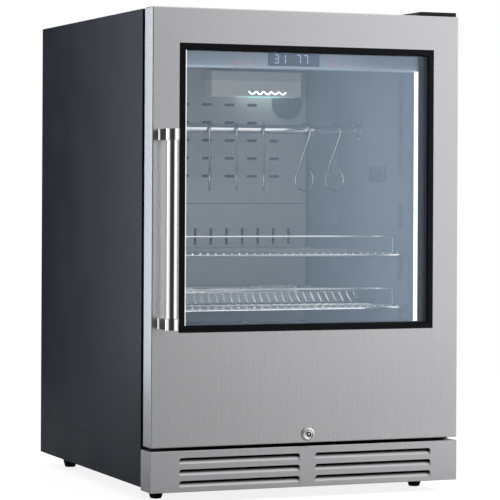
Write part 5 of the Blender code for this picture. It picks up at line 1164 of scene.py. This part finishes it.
# place across the gasket's width, depth behind its front
GASKET_PROFILE = (
    (0.0000, 0.0000),
    (0.0150, 0.0000),
    (0.0150, 0.0012),
    (0.0128, 0.0020),
    (0.0140, 0.0036),
    (0.0122, 0.0050),
    (0.0112, 0.0060),
    (0.0113, 0.0090),
    (0.0105, 0.0102),
    (0.0092, 0.0107),
    (0.0058, 0.0107),
    (0.0045, 0.0102),
    (0.0037, 0.0090),
    (0.0038, 0.0060),
    (0.0028, 0.0050),
    (0.0010, 0.0036),
    (0.0022, 0.0020),
    (0.0000, 0.0012),
)


def door_gasket():
    """Magnetic seal: dart base, bellows and a rounded magnet pocket, mitred at the corners."""
    low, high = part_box("gasket")
    bm = bmesh.new()
    loops = []
    for out, deep in GASKET_PROFILE:
        grow = out - GASKET_WIDTH
        y = min(low.y + deep, high.y)
        xs, zs = (low.x - grow, high.x + grow), (low.z - grow, high.z + grow)
        loops.append(ring_of(bm, upright_rectangle(*xs, y, *zs)))
    skin(bm, loops, joined=True)
    add_piece(bm, "gasket_profile", RUBBER, "door", "gasket", 50.0)


sheet_screws()
levelling_feet()
door_gasket()


# ---- linings and seals in painted shade, and small parts

DUCT_HALF = 0.2148
DUCT_FLOOR, DUCT_ROOF = 0.2993, 0.7977
DUCT_FRONT, DUCT_BACK = 0.2836, 0.31508
BEZEL_ZS = (0.2785, 0.7680)
BAR_FOOT, BAR_HEAD = 0.3030, 0.7682
BLADE_YS = (0.3262, 0.3462)


def duct_lining_and_painted_shade():
    """Dark lining sheet on the five walls of the pocket behind the rear covers: the dark evaporator
    housing there, and painted shade that makes the cover slots read dark.
    """
    sheet, soft = 0.0002, 0.00004
    xs, ys, zs = (-DUCT_HALF, DUCT_HALF), (DUCT_FRONT, DUCT_BACK), (DUCT_FLOOR, DUCT_ROOF)
    bm = bmesh.new()
    add_box(bm, xs, (DUCT_BACK - 0.00016, DUCT_BACK), zs, soft, 1)
    for side in (-1, 1):
        wall = sorted((side * DUCT_HALF, side * (DUCT_HALF - sheet)))
        add_box(bm, wall, ys, zs, soft, 1)
    for z in (DUCT_FLOOR, DUCT_ROOF - sheet):
        add_box(bm, xs, ys, (z, z + sheet), soft, 1)
    add_piece(bm, "duct_lining_sheet", POCKET_DARK_AND_SHADE, "cabinet")


def bar_bezel():
    """Dark strips on the liner walls between each light bar and the front of the liner."""
    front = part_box("liner")[0].y + 0.001
    bm = bmesh.new()
    for name, side in (("light_bar_left", -1), ("light_bar_right", 1)):
        low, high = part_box(name)
        wall = max(abs(low.x), abs(high.x))
        xs = sorted((side * (wall - 0.0006), side * (wall - 0.0001)))
        add_box(bm, xs, (front, low.y - 0.0004), BEZEL_ZS, 0.0001, 1)
    add_piece(bm, "light_bar_bezels", BEZEL, "cabinet")


def bar_ends():
    """Lit end caps that close the light bars up to the fascia and down towards the floor."""
    inset = 0.0002
    bm = bmesh.new()
    for name in ("light_bar_left", "light_bar_right"):
        low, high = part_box(name)
        xs, ys = (low.x + inset, high.x - inset), (low.y + inset, high.y - inset)
        for zs in ((BAR_FOOT, low.z + inset), (high.z - inset, BAR_HEAD)):
            add_box(bm, xs, ys, zs, 0.0003, 1)
    add_piece(bm, "light_bar_ends", LIGHT_BAR, "cabinet")


def cover_seam():
    """Dark rubber strip in the seam between the rear covers, with its bead in front: painted shade
    along the seam.
    """
    low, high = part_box("rear_cover_upper")
    xs = (low.x, high.x)
    bm = bmesh.new()
    ys = (low.y + 0.0002, low.y + 0.0090)
    add_box(bm, xs, ys, (low.z - 0.00055, low.z - 0.00005), 0.0001, 1)
    ys = (low.y - 0.0004, low.y + 0.0004)
    add_box(bm, xs, ys, (low.z - 0.0007, low.z + 0.0005), 0.0002, 1)
    add_piece(bm, "cover_seam_painted_shade", RUBBER, "cabinet")


def inlet_pins():
    """Flat plated blades in the appliance inlet."""
    x, _, z = middle_of("power_inlet")
    bm = bmesh.new()
    for offset, lift in ((-0.0075, -0.00275), (0.0, 0.00275), (0.0075, -0.00275)):
        xs = (x + offset - 0.0011, x + offset + 0.0011)
        add_box(bm, xs, BLADE_YS, (z + lift - 0.0021, z + lift + 0.0021), 0.0004)
    add_piece(bm, "power_inlet_blades", BRASS, "cabinet")


duct_lining_and_painted_shade()
bar_bezel()
bar_ends()
cover_seam()
inlet_pins()


# ---- light, floor and camera

STUDIO_LEVEL = 1.5
OVERHEAD = 0.50
# degrees round from the front towards the right, brightness
STUDIO = (
    (-180, 0.03),
    (-150, 0.03),
    (-138, 0.10),
    (-128, 0.60),
    (-115, 0.80),
    (-80, 0.80),
    (-70, 0.08),
    (-22, 0.02),
    (4, 0.04),
    (12, 0.14),
    (20, 0.36),
    (27, 0.76),
    (36, 1.00),
    (60, 1.00),
    (95, 0.66),
    (130, 0.33),
    (180, 0.03),
)
FLOOR_HALF = 2.0
FLOOR_SEEN = (0.58, 0.58, 0.59)
FLOOR_MIRRORED = (0.32, 0.32, 0.325)
FLOOR_FADE = 0.60
FLOOR_GLOW = 1.44
CAMERA_PLACE = (-1.6669, -4.12595, 0.5507)
CAMERA_YAW = 22.0905
CAMERA_ROLL = 0.2864
CAMERA_LENS = 168.43
CAMERA_SHIFT = -0.1225


def world_light():
    """A studio with bright and dark sides and soft light overhead, white behind for the camera."""
    world = bpy.data.worlds.new("studio")
    bpy.context.scene.world = world
    world.use_nodes = True
    tree = world.node_tree
    tree.nodes.clear()
    ray = add_node(tree, "TexCoord", {}).outputs["Generated"]
    parts = add_node(tree, "SeparateXYZ", {"Vector": ray}).outputs
    angle = maths(tree, "ARCTAN2", parts["X"], maths(tree, "MULTIPLY", parts["Y"], -1.0))
    ramp = add_node(tree, "ValToRGB", {"Fac": mapped(tree, angle, -math.pi, math.pi)})
    elements = ramp.color_ramp.elements
    while len(elements) > 1:
        elements.remove(elements[-1])
    for index, (degrees, value) in enumerate(STUDIO):
        spot = (degrees + 180.0) / 360.0
        stop = elements[0] if index == 0 else elements.new(spot)
        stop.position = spot
        stop.color = (value * 0.975, value * 0.985, value, 1.0)
    over = mapped(tree, parts["Z"], 0.35, 0.80)
    sky = blended(tree, over, ramp.outputs["Color"], (OVERHEAD, OVERHEAD, OVERHEAD))
    lift = mapped(tree, parts["Z"], -0.08, 0.30, 0.86 * STUDIO_LEVEL, 1.25 * STUDIO_LEVEL)
    studio = add_node(tree, "Background", {"Color": sky, "Strength": lift})
    white = add_node(tree, "Background", {"Color": (1.0, 1.0, 1.0, 1.0), "Strength": 1.0})
    rays = add_node(tree, "LightPath", {}).outputs
    seen = maths(tree, "MAXIMUM", rays["Is Camera Ray"], rays["Is Transmission Ray"])
    mix = add_node(tree, "MixShader", {"Fac": seen, 1: studio.outputs[0], 2: white.outputs[0]})
    add_node(tree, "OutputWorld", {"Surface": mix.outputs[0]})


def floor():
    """White floor that keeps a soft shadow."""
    mat, tree, shader = new_material("floor_white", FLOOR_SEEN, 0.80, 0.0, 0.1)
    camera_ray = add_node(tree, "LightPath", {}).outputs["Is Camera Ray"]
    feed(tree, shader, {"Base Color": blended(tree, camera_ray, FLOOR_MIRRORED, FLOOR_SEEN)})
    glow = add_node(tree, "Emission", {"Strength": FLOOR_GLOW}).outputs[0]
    fade = maths(tree, "MULTIPLY", camera_ray, FLOOR_FADE)
    mix = add_node(tree, "MixShader", {"Fac": fade, 1: shader.outputs[0], 2: glow})
    feed(tree, tree.nodes["Material Output"], {"Surface": mix.outputs[0]})
    bm = bmesh.new()
    signs = ((-1, -1), (1, -1), (1, 1), (-1, 1))
    corners = [(a * FLOOR_HALF, b * FLOOR_HALF, 0.0) for a, b in signs]
    bm.faces.new(ring_of(bm, corners))
    object_of(bm, "studio_floor", mat)


def area_light(name, spot, target, size, power, colour=(1.0, 1.0, 1.0), glossy=True):
    """A soft light that the camera doesn't see; without glossy, metals don't mirror it either."""
    data = bpy.data.lights.new(name, "AREA")
    data.shape = "RECTANGLE"
    data.size, data.size_y = size
    data.energy = power
    data.color = colour
    obj = new_object(name, data)
    obj.location = spot
    obj.rotation_euler = (Vector(target) - Vector(spot)).to_track_quat("-Z", "Y").to_euler()
    obj.visible_camera = False
    obj.visible_glossy = glossy


def lights():
    area_light(
        "card_left_rear", (-1.28, 1.0, 0.78), (-1.05, 0.0, 0.78), (0.9, 1.4), 9.0, (0.86, 0.92, 1.0)
    )
    area_light(
        "card_right_low", (1.1, -0.75, 0.70), (0.5, -0.65, 0.0), (0.5, 0.5), 16.0, glossy=False
    )
    for name, y, z, aim, size, power, glossy in (
        ("inside_front", -0.19, 0.60, 0.52, (0.40, 0.26), 0.36, True),
        ("inside_low_0.385", -0.205, 0.385, 0.335, (0.40, 0.07), 0.24, False),
        ("inside_low_0.312", -0.205, 0.312, 0.290, (0.40, 0.02), 0.09, True),
    ):
        area_light(name, (-0.03, y, z), (-0.03, 0.25, aim), size, power, glossy=glossy)
    area_light(
        "card_front_top", (0.20, -0.95, 0.98), (0.12, -0.24, 0.79), (0.6, 0.12), 2.6, glossy=False
    )
    spot, target = (-0.235, -0.20, 0.56), (0.20, -0.05, 0.56)
    area_light("inside_left", spot, target, (0.03, 0.32), 0.38, (1.0, 0.99, 0.97))


def camera():
    yaw = math.radians(CAMERA_YAW)
    roll = math.radians(CAMERA_ROLL)
    forward = Vector((math.sin(yaw), math.cos(yaw), 0.0))
    right = Vector((math.cos(yaw), -math.sin(yaw), 0.0))
    up = Vector((0.0, 0.0, 1.0))
    c, s = math.cos(roll), math.sin(roll)
    right, up = right * c + up * s, up * c - right * s
    data = bpy.data.cameras.new("photo_camera")
    data.sensor_width = 36.0
    data.lens = CAMERA_LENS
    data.shift_y = CAMERA_SHIFT
    obj = new_object("photo_camera", data)
    matrix = Matrix.Identity(4)
    for row in range(3):
        matrix[row][0] = right[row]
        matrix[row][1] = up[row]
        matrix[row][2] = -forward[row]
        matrix[row][3] = CAMERA_PLACE[row]
    obj.matrix_world = matrix
    bpy.context.scene.camera = obj


world_light()
floor()
lights()
camera()
bpy.context.scene.view_settings.view_transform = "Standard"
